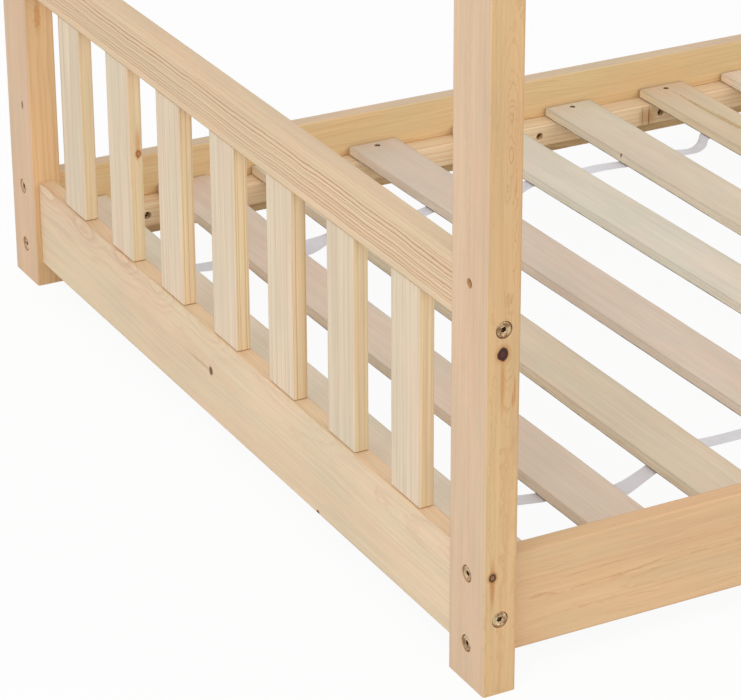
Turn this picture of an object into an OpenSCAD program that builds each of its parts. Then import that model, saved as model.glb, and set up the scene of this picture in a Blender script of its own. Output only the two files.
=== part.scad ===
// House-frame floor bed in pine: four posts, two ends with balusters, two long rails,
// a slatted base on cleats, and a ridge roof frame.
// Millimetres, +Z up. The origin is on the floor, under the middle of the bed.
// +X runs along the bed from the head end to the foot end, and -Y is its front.

/* [Mattress] */
// Length of the mattress that the bed holds
mattress_l = 2000; // [1400:10:2200]
// Width of the mattress that the bed holds
mattress_w = 900; // [700:10:1200]
// Gap between the mattress and the posts at each end
end_clear = 3; // [2:1:15]
// Gap between the mattress and the long rail on each side
side_clear = 2; // [1:1:15]

/* [Posts] */
// Size of a post along the bed
post_x = 30; // [28:1:45]
// Size of a post across the bed
post_y = 58; // [50:1:75]
// Height of a post
post_h = 1058; // [900:10:1200]
// Radius worked on the long edges of posts and rails
edge_r = 2.5; // [1:0.5:4]

/* [Rails] */
// Thickness of the end rails, long rails and guard rails
rail_t = 18; // [18:1:24]
// Height of the lower rails
rail_h = 89; // [80:1:120]
// Height of the lower rails' underside above the floor
rail_z = 24; // [15:1:60]
// Distance of each long rail bolt from the rail's nearest edge
rail_bolt_in = 12.5; // [12:0.5:20]
// Distance of each end rail dowel from the rail's nearest edge
rail_dowel_in = 20; // [14:1:24]

/* [Guard rails] */
// Height of a guard rail
guard_h = 52; // [48:1:90]
// Height of a guard rail's underside above the floor
guard_z = 312; // [280:1:420]
// Distance of the guard rail's bolt from its underside
guard_bolt_in = 11; // [9:1:14]
// Distance of the guard rail's dowel from its top
guard_dowel_in = 14; // [10:1:18]
// Height of the spare guard hole in each post
spare_hole_z = 354; // [340:1:500]
// Radius of the spare guard holes
spare_hole_r = 4; // [3:0.5:5]

/* [Balusters] */
// Number of balusters in each end
bal_n = 7; // [5:1:7]
// Width of a baluster
bal_w = 50; // [40:1:60]
// Thickness of a baluster
bal_t = 14; // [12:1:16]
// Width of a baluster's tenon
tenon_w = 34; // [20:1:36]
// Thickness of a baluster's tenon
tenon_t = 8; // [6:1:9]
// Length of a baluster's tenon
tenon_l = 15; // [8:1:20]

/* [Slatted base] */
// Thickness of a cleat, across the bed
cleat_t = 25; // [20:1:35]
// Height of a cleat
cleat_h = 24; // [20:1:30]
// Height of a cleat's underside above the long rail's underside
cleat_lift = 20; // [10:1:28]
// Gap between a cleat's end and the post
cleat_end_gap = 4; // [1:1:20]
// Distance from a cleat's head end to its first screw
cleat_screw_in = 88; // [30:1:120]
// Spacing of a cleat's screws
cleat_screw_pitch = 156.5; // [120:0.5:300]
// Number of slats
slat_n = 18; // [12:1:18]
// Width of a slat
slat_w = 58; // [50:1:60]
// Thickness of a slat
slat_t = 10; // [9:1:15]
// Gap between a slat's end and the long rail
slat_side_gap = 2; // [1:0.5:6]
// Gap between the outermost slats and the end rails
slat_end_gap = 5; // [2:1:12]
// Distance from a slat's end to its screw
slat_screw_in = 10; // [7:1:14]
// Distance from a slat's end to the middle of the strap below it
strap_in = 150; // [60:5:250]
// Width of the strap
strap_w = 18; // [12:1:25]
// Thickness of the strap
strap_t = 1; // [0.8:0.1:1.5]
// How far the strap hangs down between two slats
strap_sag = 9; // [3:1:14]

/* [Roof frame] */
// Height of the bed at the ridge
roof_h = 1420; // [1250:10:1600]
// Depth of a rafter, square to its slope
rafter_w = 58; // [50:1:65]
// Width of the ridge beam
ridge_w = 58; // [54:1:70]
// Thickness of the ridge beam
ridge_t = 30; // [28:1:40]
// Distance of a ridge bolt from the middle of the beam
ridge_bolt_y = 16; // [14:1:18]
// Thickness of an eave beam
eave_t = 30; // [24:1:36]
// Height of an eave beam
eave_h = 58; // [50:1:70]
// Distance of an eave beam's top below the post's top
eave_drop = 12; // [10:1:16]
// Distance of the rafter bolt below the post's top
rafter_bolt_drop = 26; // [24:1:28]
// Distance of the rafter dowel below the post's top
rafter_dowel_drop = 53; // [50:1:56]

/* [Fasteners] */
// Radius of a connector bolt
bolt_r = 3; // [2.5:0.5:3.5]
// Radius of a bolt's head
head_r = 7; // [6.5:0.25:8]
// Thickness of a bolt's head
head_t = 2.2; // [2:0.1:2.6]
// Depth of the recess that takes the head
recess_d = 2.8; // [2.6:0.1:4]
// Size across the flats of the hexagon socket
socket_af = 4; // [3:0.5:5]
// Radius of a barrel nut
nut_r = 5; // [4.5:0.5:6]
// Length of a barrel nut
nut_l = 13; // [11:1:14]
// Distance of a barrel nut from the end of its beam
nut_in = 32; // [26:1:40]
// Length of bolt that passes through the nut
bolt_past = 3; // [2:1:6]
// Radius of a dowel
dowel_r = 4; // [3:0.5:4.5]
// Length of a dowel
dowel_l = 30; // [20:2:36]
// Shank radius of a cleat screw
cleat_screw_r = 2; // [1.5:0.25:2.25]
// Length of a cleat screw
cleat_screw_l = 31; // [28:1:33]
// Depth of the pocket that sinks a cleat screw
cleat_pocket_d = 6; // [4:1:7]
// Shank radius of a slat screw
slat_screw_r = 1.5; // [1.25:0.25:2]
// Length of a strap staple's crown
staple_crown = 10; // [6:1:11]
// Radius of a staple's wire
staple_r = 0.5; // [0.4:0.1:0.6]
// How far a staple goes into the slat
staple_bite = 6; // [4:1:8]

/* [Hidden] */
$fn = 32;
pine = [0.87, 0.75, 0.59];
pine_pale = [0.89, 0.81, 0.69];
pine_warm = [0.84, 0.69, 0.50];
slat_wood = [0.82, 0.76, 0.68];
beech = [0.79, 0.62, 0.45];
brass_zinc = [0.76, 0.64, 0.42];
bright_zinc = [0.72, 0.72, 0.70];
web_grey = [0.83, 0.82, 0.82];

// Named clearances
fit = 0.1;           // round a dowel, a nut, a screw or a tenon in its own hole
hole_clear = 0.3;    // round a bolt in its bore
recess_clear = 0.4;  // round a bolt head in its recess
blind_clear = 1;     // past the end of whatever a blind hole holds
strap_gap = 0.3;     // between the strap and the slat or staple that it lies against
over = 1;            // how far a cutter runs past the face that it opens

// Overall size and the places that follow from it
bed_l = mattress_l + 2 * end_clear + 2 * post_x;
rail_inset = (post_y - rail_t) / 2;
bed_w = mattress_w + 2 * side_clear + 2 * (rail_t + rail_inset);
long_rail_l = bed_l - 2 * post_x;
end_rail_l = bed_w - 2 * post_y;
rail_top = rail_z + rail_h;
guard_top = guard_z + guard_h;
long_rail_bolts = [rail_z + rail_bolt_in, rail_top - rail_bolt_in];
end_rail_bolt = rail_z + rail_h / 2;
end_rail_dowels = [rail_z + rail_dowel_in, rail_top - rail_dowel_in];
guard_bolt = guard_z + guard_bolt_in;
guard_dowel = guard_top - guard_dowel_in;

// Balusters stand at equal gaps between the posts
bal_gap = (end_rail_l - bal_n * bal_w) / (bal_n + 1);
function bal_y(i) = -end_rail_l / 2 + bal_gap + bal_w / 2 + (i - 1) * (bal_w + bal_gap);

// Slats are laid by eye, so the front and back ends of each lie a little off its even place
slat_front = [2, 8, 4, 18, 32, 18, 28, 20, 13, 8, 4, 6, 1, -3, 2, 5, -1, 0];
slat_back = [1, -6, -6, -5, 6, 9, 16, 10, 7, 5, 3, 0, -2, 1, 3, 0, -1, 0];
cleat_z = rail_z + cleat_lift;
slat_z = cleat_z + cleat_h;
slat_l = bed_w - 2 * (rail_inset + rail_t + slat_side_gap);
slat_first = -bed_l / 2 + (post_x + rail_t) / 2 + slat_end_gap + slat_w / 2;
slat_pitch = -2 * slat_first / (slat_n - 1);
function slat_off(ends, i) = i <= len(ends) ? ends[i - 1] : 0;
function slat_skew(i) = (slat_off(slat_front, i) - slat_off(slat_back, i)) / slat_l;
// Where a slat's middle line lies along the bed, at the distance y from the bed's middle
function slat_x(i, y = 0) = slat_first + (i - 1) * slat_pitch
    + (slat_off(slat_front, i) + slat_off(slat_back, i)) / 2 - slat_skew(i) * y;
// Straps are stapled by eye too, so under each slat a strap lies off its even line, outward if positive
strap_front = [2, 22, 12, 2, -4, 3, 6, 0, -5, -3, 2, 4, 0, -4, 3, 5, -2, 0];
strap_back = [-38, -42, -32, -20, -8, -8, 19, 8, 0, -5, 3, 6, -2, 4, 0, -6, 2, 0];
function strap_y(i, sy) = sy * (slat_l / 2 - strap_in + slat_off(sy < 0 ? strap_front : strap_back, i));

// Cleats run between the posts, along the long rails
cleat_l = long_rail_l - 2 * cleat_end_gap;
cleat_y = bed_w / 2 - rail_inset - rail_t - cleat_t / 2;
cleat_screw_z = cleat_z + cleat_h / 2;
cleat_screw_n = 1 + floor((cleat_l - cleat_screw_in - rail_t) / cleat_screw_pitch);
function cleat_screw_x(k) = -cleat_l / 2 + cleat_screw_in + k * cleat_screw_pitch;
// A slat screw stops short of the cleat screws that may lie under it
slat_screw_l = slat_t + cleat_h / 2 - cleat_screw_r - 2 * blind_clear;

// Roof: rafters butt against the posts and meet at a plumb joint over the middle
roof_run = bed_w / 2 - post_y;
roof_slope = atan((roof_h - post_h) / roof_run);
rafter_plumb = rafter_w / cos(roof_slope);
ridge_z = roof_h - ridge_w / 2 * tan(roof_slope) - ridge_t;
ridge_bolt_z = ridge_z + ridge_t / 2;
apex_dowel_z = roof_h - rafter_plumb + 3.5 * dowel_r;
eave_z = post_h - eave_drop - eave_h;
eave_bolt = eave_z + eave_h / 2;
eave_dowel = eave_z + 3.5 * dowel_r;
rafter_bolt = post_h - rafter_bolt_drop;
rafter_dowel = post_h - rafter_dowel_drop;

// Screw heads: a countersunk cone as wide as it needs to be for its shank
slat_head_r = 1.9 * slat_screw_r;
slat_head_t = slat_head_r - slat_screw_r;
cleat_head_r = 1.9 * cleat_screw_r;
cleat_head_t = cleat_head_r - cleat_screw_r;
socket_d = 1.6;
nut_slot_w = 1.2;

ENDS = ["head", "foot"];
SIDES = ["front", "back"];
function end_sign(e) = e == "head" ? -1 : 1;
function side_sign(s) = s == "front" ? -1 : 1;

// Outline of a board's section, with its four edges rounded
function round_rect(a, b, r, steps = 3) = [
    for (q = [0:3], k = [0:steps])
        let (turn = 90 * q + 90 * k / steps,
             cx = (q == 0 || q == 3 ? 1 : -1) * (a / 2 - r),
             cy = (q < 2 ? 1 : -1) * (b / 2 - r))
        [cx + r * cos(turn), cy + r * sin(turn)]
];

// A board from the origin along +Z, with the given section along X and Y
module board(a, b, l, r = edge_r) {
    linear_extrude(height = l) polygon(round_rect(a, b, r));
}

// Boards centred on the origin along X or Y, standing on Z = 0
module board_along_x(l, t, h, r = edge_r) {
    translate([-l / 2, 0, h / 2]) rotate([0, 90, 0]) board(h, t, l, r);
}
module board_along_y(l, t, h, r = edge_r) {
    translate([0, l / 2, h / 2]) rotate([90, 0, 0]) board(t, h, l, r);
}

module cyl_x(r, l) {
    rotate([0, 90, 0]) cylinder(r = r, h = l);
}
module cyl_y(r, l) {
    rotate([-90, 0, 0]) cylinder(r = r, h = l);
}

// Puts children at a corner of the bed, where local +X and +Y both point inwards
module corner(sx, sy) {
    translate([sx * bed_l / 2, sy * bed_w / 2, 0])
        mirror_if(sx > 0, [1, 0, 0]) mirror_if(sy > 0, [0, 1, 0]) children();
}
module mirror_if(yes, v) {
    if (yes) mirror(v) children();
    else children();
}
// Turns what runs along X into what runs along Y
module swap_xy() {
    mirror([1, -1, 0]) children();
}

// Where the bolts sit at one corner
module x_bolts() {
    for (z = concat(long_rail_bolts, [eave_bolt])) translate([0, post_y / 2, z]) children();
}
module y_bolts() {
    for (z = [end_rail_bolt, guard_bolt, rafter_bolt])
        translate([post_x / 2, 0, z]) swap_xy() children();
}
module ridge_bolts() {
    for (sy = [-1, 1]) translate([0, bed_w / 2 + sy * ridge_bolt_y, ridge_bolt_z]) children();
}

// Fittings along +X. A bolt starts at the face that its head is sunk in
module bolt(grip) {
    shank_l = grip + nut_in + nut_r + bolt_past - recess_d;
    chamfer = head_t / 3;
    difference() {
        union() {
            translate([recess_d - head_t, 0, 0]) rotate([0, 90, 0]) rotate_extrude()
                polygon([[0, 0], [head_r - chamfer, 0], [head_r, chamfer], [head_r, head_t], [0, head_t]]);
            translate([recess_d - over, 0, 0]) cyl_x(bolt_r, shank_l + over);
        }
        translate([recess_d - head_t - over, 0, 0]) rotate([0, 90, 0])
            cylinder(d = socket_af / cos(30), h = socket_d + over, $fn = 6);
    }
}
module bolt_hole(grip) {
    translate([-over, 0, 0]) cyl_x(head_r + recess_clear, recess_d + over);
    translate([-over, 0, 0]) cyl_x(bolt_r + hole_clear, grip + 2 * over);
}
// The hole for the bolt's end and the cross hole for its nut, from the end of the beam
module beam_hole(beam_t) {
    translate([-over, 0, 0]) cyl_x(bolt_r + hole_clear, nut_in + nut_r + bolt_past + blind_clear + over);
    translate([nut_in, -nut_l / 2, 0]) cyl_y(nut_r + fit, (nut_l + beam_t) / 2 + over);
}
module barrel_nut() {
    translate([nut_in, 0, 0]) difference() {
        translate([0, -nut_l / 2, 0]) cyl_y(nut_r, nut_l);
        translate([-nut_r - over, 0, 0]) cyl_x(bolt_r + fit, 2 * (nut_r + over));
        translate([-nut_slot_w / 2, nut_l / 2 - nut_slot_w, -nut_r - over])
            cube([nut_slot_w, nut_slot_w + over, 2 * (nut_r + over)]);
    }
}
module dowel() {
    translate([-dowel_l / 2, 0, 0]) cyl_x(dowel_r, dowel_l);
}
module dowel_hole() {
    half = dowel_l / 2 + blind_clear;
    translate([-half, 0, 0]) cyl_x(dowel_r + fit, 2 * half);
}
// Dowels at one corner, each centred on the joint that it crosses
module corner_dowels() {
    for (z = concat(end_rail_dowels, [guard_dowel, rafter_dowel]))
        translate([post_x / 2, post_y, z]) swap_xy() children();
    translate([post_x, post_y / 2, eave_dowel]) children();
}
// A countersunk screw from the origin along -Z
module screw(r, head_r, l) {
    point = 2 * r;
    rotate_extrude() polygon([
        [0, 0], [head_r, 0], [head_r, -0.2], [r, -(head_r - r) - 0.2], [r, point - l], [0, -l]
    ]);
}
module screw_hole(r, head_r, l) {
    cylinder(r = r, h = over);
    translate([0, 0, -l]) cylinder(r = r + fit, h = l + over);
    translate([0, 0, -(head_r - r) - 0.2 - fit])
        cylinder(r1 = r + fit, r2 = head_r + 2 * fit, h = head_r - r + fit);
    translate([0, 0, -0.2 - fit]) cylinder(r = head_r + 2 * fit, h = over + 0.2 + fit);
}

module post(sx, sy) {
    color(pine) corner(sx, sy) difference() {
        translate([post_x / 2, post_y / 2, 0]) board(post_x, post_y, post_h);
        x_bolts() bolt_hole(post_x);
        y_bolts() bolt_hole(post_y);
        corner_dowels() dowel_hole();
        translate([-over, post_y / 2, spare_hole_z]) cyl_x(spare_hole_r, post_x + 2 * over);
    }
}

// Mortises for the balusters' tenons, opening at the height z and going down or up
module mortises(sx, z, way) {
    depth = tenon_l + blind_clear;
    for (i = [1:bal_n])
        translate([sx * (bed_l - post_x) / 2, bal_y(i), z + way * (depth - over) / 2])
            cube([tenon_t + 2 * fit, tenon_w + 2 * fit, depth + over], center = true);
}

module end_rail(sx) {
    color(pine) difference() {
        translate([sx * (bed_l - post_x) / 2, 0, rail_z]) board_along_y(end_rail_l, rail_t, rail_h);
        for (sy = [-1, 1]) corner(sx, sy) {
            translate([post_x / 2, post_y, end_rail_bolt]) swap_xy() beam_hole(rail_t);
            corner_dowels() dowel_hole();
        }
        mortises(sx, rail_top, -1);
    }
}

module guard_rail(sx) {
    color(pine_pale) difference() {
        translate([sx * (bed_l - post_x) / 2, 0, guard_z]) board_along_y(end_rail_l, rail_t, guard_h);
        for (sy = [-1, 1]) corner(sx, sy) {
            translate([post_x / 2, post_y, guard_bolt]) swap_xy() beam_hole(rail_t);
            corner_dowels() dowel_hole();
        }
        mortises(sx, guard_z, 1);
    }
}

module baluster(sx, i) {
    color(pine_pale) translate([sx * (bed_l - post_x) / 2, bal_y(i), 0]) {
        translate([0, 0, rail_top]) board(bal_t, bal_w, guard_z - rail_top);
        translate([-tenon_t / 2, -tenon_w / 2, rail_top - tenon_l])
            cube([tenon_t, tenon_w, guard_z - rail_top + 2 * tenon_l]);
    }
}

module long_rail(sy) {
    color(pine_warm) difference() {
        translate([0, sy * (bed_w - post_y) / 2, rail_z]) board_along_x(long_rail_l, rail_t, rail_h);
        for (sx = [-1, 1], z = long_rail_bolts)
            corner(sx, sy) translate([post_x, post_y / 2, z]) beam_hole(rail_t);
        each_cleat_screw(sy) screw_hole(cleat_screw_r, cleat_head_r, cleat_screw_l + blind_clear);
    }
}

// Puts children at each cleat screw's head, with -Z running out through the rail
module each_cleat_screw(sy) {
    for (k = [0:cleat_screw_n - 1])
        translate([cleat_screw_x(k), sy * (cleat_y - cleat_t / 2 + cleat_pocket_d), cleat_screw_z])
            rotate([sy * 90, 0, 0]) children();
}

module cleat(sy) {
    color(pine) difference() {
        translate([0, sy * cleat_y, cleat_z]) board_along_x(cleat_l, cleat_t, cleat_h, edge_r / 2);
        each_cleat_screw(sy) {
            screw_hole(cleat_screw_r, cleat_head_r, cleat_screw_l);
            cylinder(r = cleat_head_r + 2 * fit, h = cleat_pocket_d + over);
        }
        each_slat_screw([sy]) screw_hole(slat_screw_r, slat_head_r, slat_screw_l + blind_clear);
    }
}

// Puts children under a slat's middle line, turned with it, at the distance y from its middle
module under_slat(i, y = 0) {
    translate([slat_x(i), 0, slat_z]) rotate([0, 0, atan(slat_skew(i))]) translate([0, y, 0]) children();
}
// Puts children at each slat screw's head, on the given sides, for one slat or for all
module each_slat_screw(sides, which = [1:slat_n]) {
    for (i = which, sy = sides)
        under_slat(i, sy * (slat_l / 2 - slat_screw_in)) translate([0, 0, slat_t]) children();
}

module slat(i) {
    color(slat_wood) difference() {
        under_slat(i) board_along_y(slat_l, slat_w, slat_t, edge_r / 3);
        each_slat_screw([-1, 1], [i]) screw_hole(slat_screw_r, slat_head_r, slat_t + over);
        each_staple([-1, 1], [i]) staple_legs(staple_r + fit, staple_bite + blind_clear);
    }
}

// Puts children on the underside of each slat, over the middle of each strap
module each_staple(sides, which = [1:slat_n]) {
    for (i = which, sy = sides) under_slat(i, strap_y(i, sy)) children();
}
module staple_legs(r, up) {
    down = strap_t + 2 * strap_gap + staple_r;
    for (s = [-1, 1]) translate([0, s * (staple_crown / 2 - staple_r), -down])
        cylinder(r = r, h = down + up, $fn = 16);
}
module staple() {
    staple_legs(staple_r, staple_bite);
    translate([0, -staple_crown / 2, -strap_t - 2 * strap_gap - staple_r]) cyl_y(staple_r, staple_crown);
}

// The strap's upper line: flat under each slat and hanging in a curve between two slats
function strap_line(sy) = [
    for (i = [1:slat_n])
        let (left = slat_x(i, strap_y(i, sy)) - slat_w / 2, right = left + slat_w)
        each concat(
            [[left + (i == 1 ? strap_w : 0), 0], [right - (i == slat_n ? strap_w : 0), 0]],
            i == slat_n ? [] : let (span = slat_x(i + 1, strap_y(i + 1, sy)) - slat_w / 2 - right)
                [for (k = [1:5]) [right + span * k / 6, -strap_sag * sin(180 * k / 6)]])
];
// The strap's middle line seen from above: straight under each slat and astray between two slats
function strap_route(sy) = [
    for (i = [1:slat_n], end = [-1, 1])
        [slat_x(i, strap_y(i, sy)) + end * slat_w / 2, strap_y(i, sy)]
];
module strap(sy) {
    line = strap_line(sy);
    last = len(line) - 1;
    under = [for (k = [last:-1:0]) [line[k][0], line[k][1] - strap_t]];
    route = strap_route(sy);
    half = [0, strap_w / 2];
    band = concat(
        [for (spot = route) spot - half],
        [for (k = [len(route) - 1:-1:0]) route[k] + half]
    );
    color(web_grey) difference() {
        intersection() {
            translate([0, bed_w / 2, slat_z - strap_gap]) rotate([90, 0, 0])
                linear_extrude(height = bed_w) polygon(concat(line, under));
            translate([0, 0, slat_z - strap_sag - 2 * strap_t])
                linear_extrude(height = strap_sag + 3 * strap_t) polygon(band);
        }
        each_staple([sy]) staple_legs(staple_r + fit, over);
    }
}

module rafter(sx, sy) {
    color(pine) corner(sx, sy) difference() {
        rotate([90, 0, 90]) linear_extrude(height = post_x) polygon([
            [post_y, post_h], [bed_w / 2, roof_h],
            [bed_w / 2, roof_h - rafter_plumb], [post_y, post_h - rafter_plumb]
        ]);
        translate([post_x / 2, post_y, rafter_bolt]) swap_xy() beam_hole(post_x);
        corner_dowels() dowel_hole();
        ridge_bolts() bolt_hole(post_x);
        apex_dowel() dowel_hole();
    }
}
// Puts children across the apex joint, at the middle of the rafters' thickness
module apex_dowel() {
    translate([post_x / 2, bed_w / 2, apex_dowel_z]) swap_xy() children();
}

module eave_beam(sy) {
    color(pine) difference() {
        translate([0, sy * (bed_w - post_y) / 2, eave_z]) board_along_x(long_rail_l, eave_t, eave_h);
        for (sx = [-1, 1]) corner(sx, sy) {
            translate([post_x, post_y / 2, eave_bolt]) beam_hole(eave_t);
            corner_dowels() dowel_hole();
        }
    }
}

module ridge_beam() {
    color(pine) difference() {
        translate([0, 0, ridge_z]) board_along_x(long_rail_l, ridge_w, ridge_t);
        for (sx = [-1, 1]) corner(sx, -1) translate([post_x, 0, 0])
            ridge_bolts() nut_from_below() beam_hole(ridge_t);
    }
}
// Turns a fitting so that its nut goes in from the underside
module nut_from_below() {
    rotate([-90, 0, 0]) children();
}

module connector_bolts() {
    color(brass_zinc) for (sx = [-1, 1], sy = [-1, 1]) corner(sx, sy) {
        x_bolts() bolt(post_x);
        y_bolts() bolt(post_y);
    }
    color(brass_zinc) for (sx = [-1, 1]) corner(sx, -1) ridge_bolts() bolt(post_x);
}

module barrel_nuts() {
    color(bright_zinc) for (sx = [-1, 1], sy = [-1, 1]) corner(sx, sy) {
        translate([post_x, 0, 0]) x_bolts() barrel_nut();
        translate([0, post_y, 0]) y_bolts() barrel_nut();
    }
    color(bright_zinc) for (sx = [-1, 1]) corner(sx, -1) translate([post_x, 0, 0])
        ridge_bolts() nut_from_below() barrel_nut();
}

module dowels() {
    color(beech) {
        for (sx = [-1, 1], sy = [-1, 1]) corner(sx, sy) corner_dowels() dowel();
        for (sx = [-1, 1]) corner(sx, -1) apex_dowel() dowel();
    }
}

module cleat_screws() {
    color(bright_zinc) for (sy = [-1, 1])
        each_cleat_screw(sy) screw(cleat_screw_r, cleat_head_r, cleat_screw_l);
}

module slat_screws() {
    color(bright_zinc) each_slat_screw([-1, 1])
        translate([0, 0, -fit]) screw(slat_screw_r, slat_head_r, slat_screw_l);
}

module strap_staples() {
    color(bright_zinc) each_staple([-1, 1]) staple();
}

for (e = ENDS, s = SIDES)
    post(end_sign(e), side_sign(s));
for (e = ENDS) {
    end_rail(end_sign(e));
    guard_rail(end_sign(e));
}
for (e = ENDS, i = [1:bal_n])
    baluster(end_sign(e), i);
for (s = SIDES) {
    long_rail(side_sign(s));
    cleat(side_sign(s));
}
for (i = [1:slat_n])
    slat(i);
for (s = SIDES)
    strap(side_sign(s));
for (e = ENDS, s = SIDES)
    rafter(end_sign(e), side_sign(s));
for (s = SIDES)
    eave_beam(side_sign(s));
ridge_beam();
connector_bolts();
barrel_nuts();
dowels();
cleat_screws();
slat_screws();
strap_staples();
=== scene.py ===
"""A low house-frame bed in pine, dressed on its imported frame.

Boards, bolts, screws and webbing are built here as meshes with procedural
finishes. Lengths are in metres, in the bed's own frame: +X runs from the head
end to the foot end, -Y is the front and the floor is at Z = 0.
"""

from __future__ import annotations

import logging
import math
import random
from collections.abc import Sequence
from dataclasses import dataclass, field, replace
from enum import Enum

import bmesh
import bpy
from mathutils import Matrix, Vector, noise


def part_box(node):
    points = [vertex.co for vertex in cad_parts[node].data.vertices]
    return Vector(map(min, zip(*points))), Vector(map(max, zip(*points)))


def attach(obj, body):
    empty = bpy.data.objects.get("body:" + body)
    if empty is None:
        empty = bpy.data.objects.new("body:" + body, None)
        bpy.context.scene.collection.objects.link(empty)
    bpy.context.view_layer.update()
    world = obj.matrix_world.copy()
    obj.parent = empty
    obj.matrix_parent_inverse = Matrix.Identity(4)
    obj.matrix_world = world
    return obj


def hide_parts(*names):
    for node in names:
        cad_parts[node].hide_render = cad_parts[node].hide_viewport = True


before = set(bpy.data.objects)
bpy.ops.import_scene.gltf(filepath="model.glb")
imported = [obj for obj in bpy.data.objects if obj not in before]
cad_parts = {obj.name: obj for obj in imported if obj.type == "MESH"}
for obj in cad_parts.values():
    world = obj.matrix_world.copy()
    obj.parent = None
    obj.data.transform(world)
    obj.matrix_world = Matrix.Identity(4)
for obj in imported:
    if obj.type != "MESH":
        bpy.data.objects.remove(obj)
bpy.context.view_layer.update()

LOG = logging.getLogger("bed")

Colour = tuple[float, float, float]
Mesh = bmesh.types.BMesh
Profile = list[tuple[float, float]]
Socket = bpy.types.NodeSocket

# How far a cutter reaches past a face, so that it cuts clean through it
OVERCUT = 0.001


def srgb(red: int, green: int, blue: int) -> Colour:
    """Turns a display colour into the linear colour that shaders take.

    Args:
        red: Red, from 0 to 255.
        green: Green, from 0 to 255.
        blue: Blue, from 0 to 255.

    Returns:
        The colour as three linear values from 0 to 1.
    """

    def linear(value: int) -> float:
        """Gives one channel's linear value."""
        share = value / 255
        return share / 12.92 if share <= 0.04045 else ((share + 0.055) / 1.055) ** 2.4

    return linear(red), linear(green), linear(blue)


class Body(Enum):
    """The bodies of the bed. Nothing on it moves, so there is one."""

    WHOLE = "root"


class Axis(Enum):
    """Row axes, as unit vectors."""

    X = (1.0, 0.0, 0.0)
    Y = (0.0, 1.0, 0.0)
    Z = (0.0, 0.0, 1.0)

    def vector(self) -> Vector:
        """Gives the axis as a vector."""
        return Vector(self.value)


class Face(Enum):
    """The faces of a board that a knot can come out of."""

    WIDE = "wide"
    NARROW = "narrow"


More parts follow.
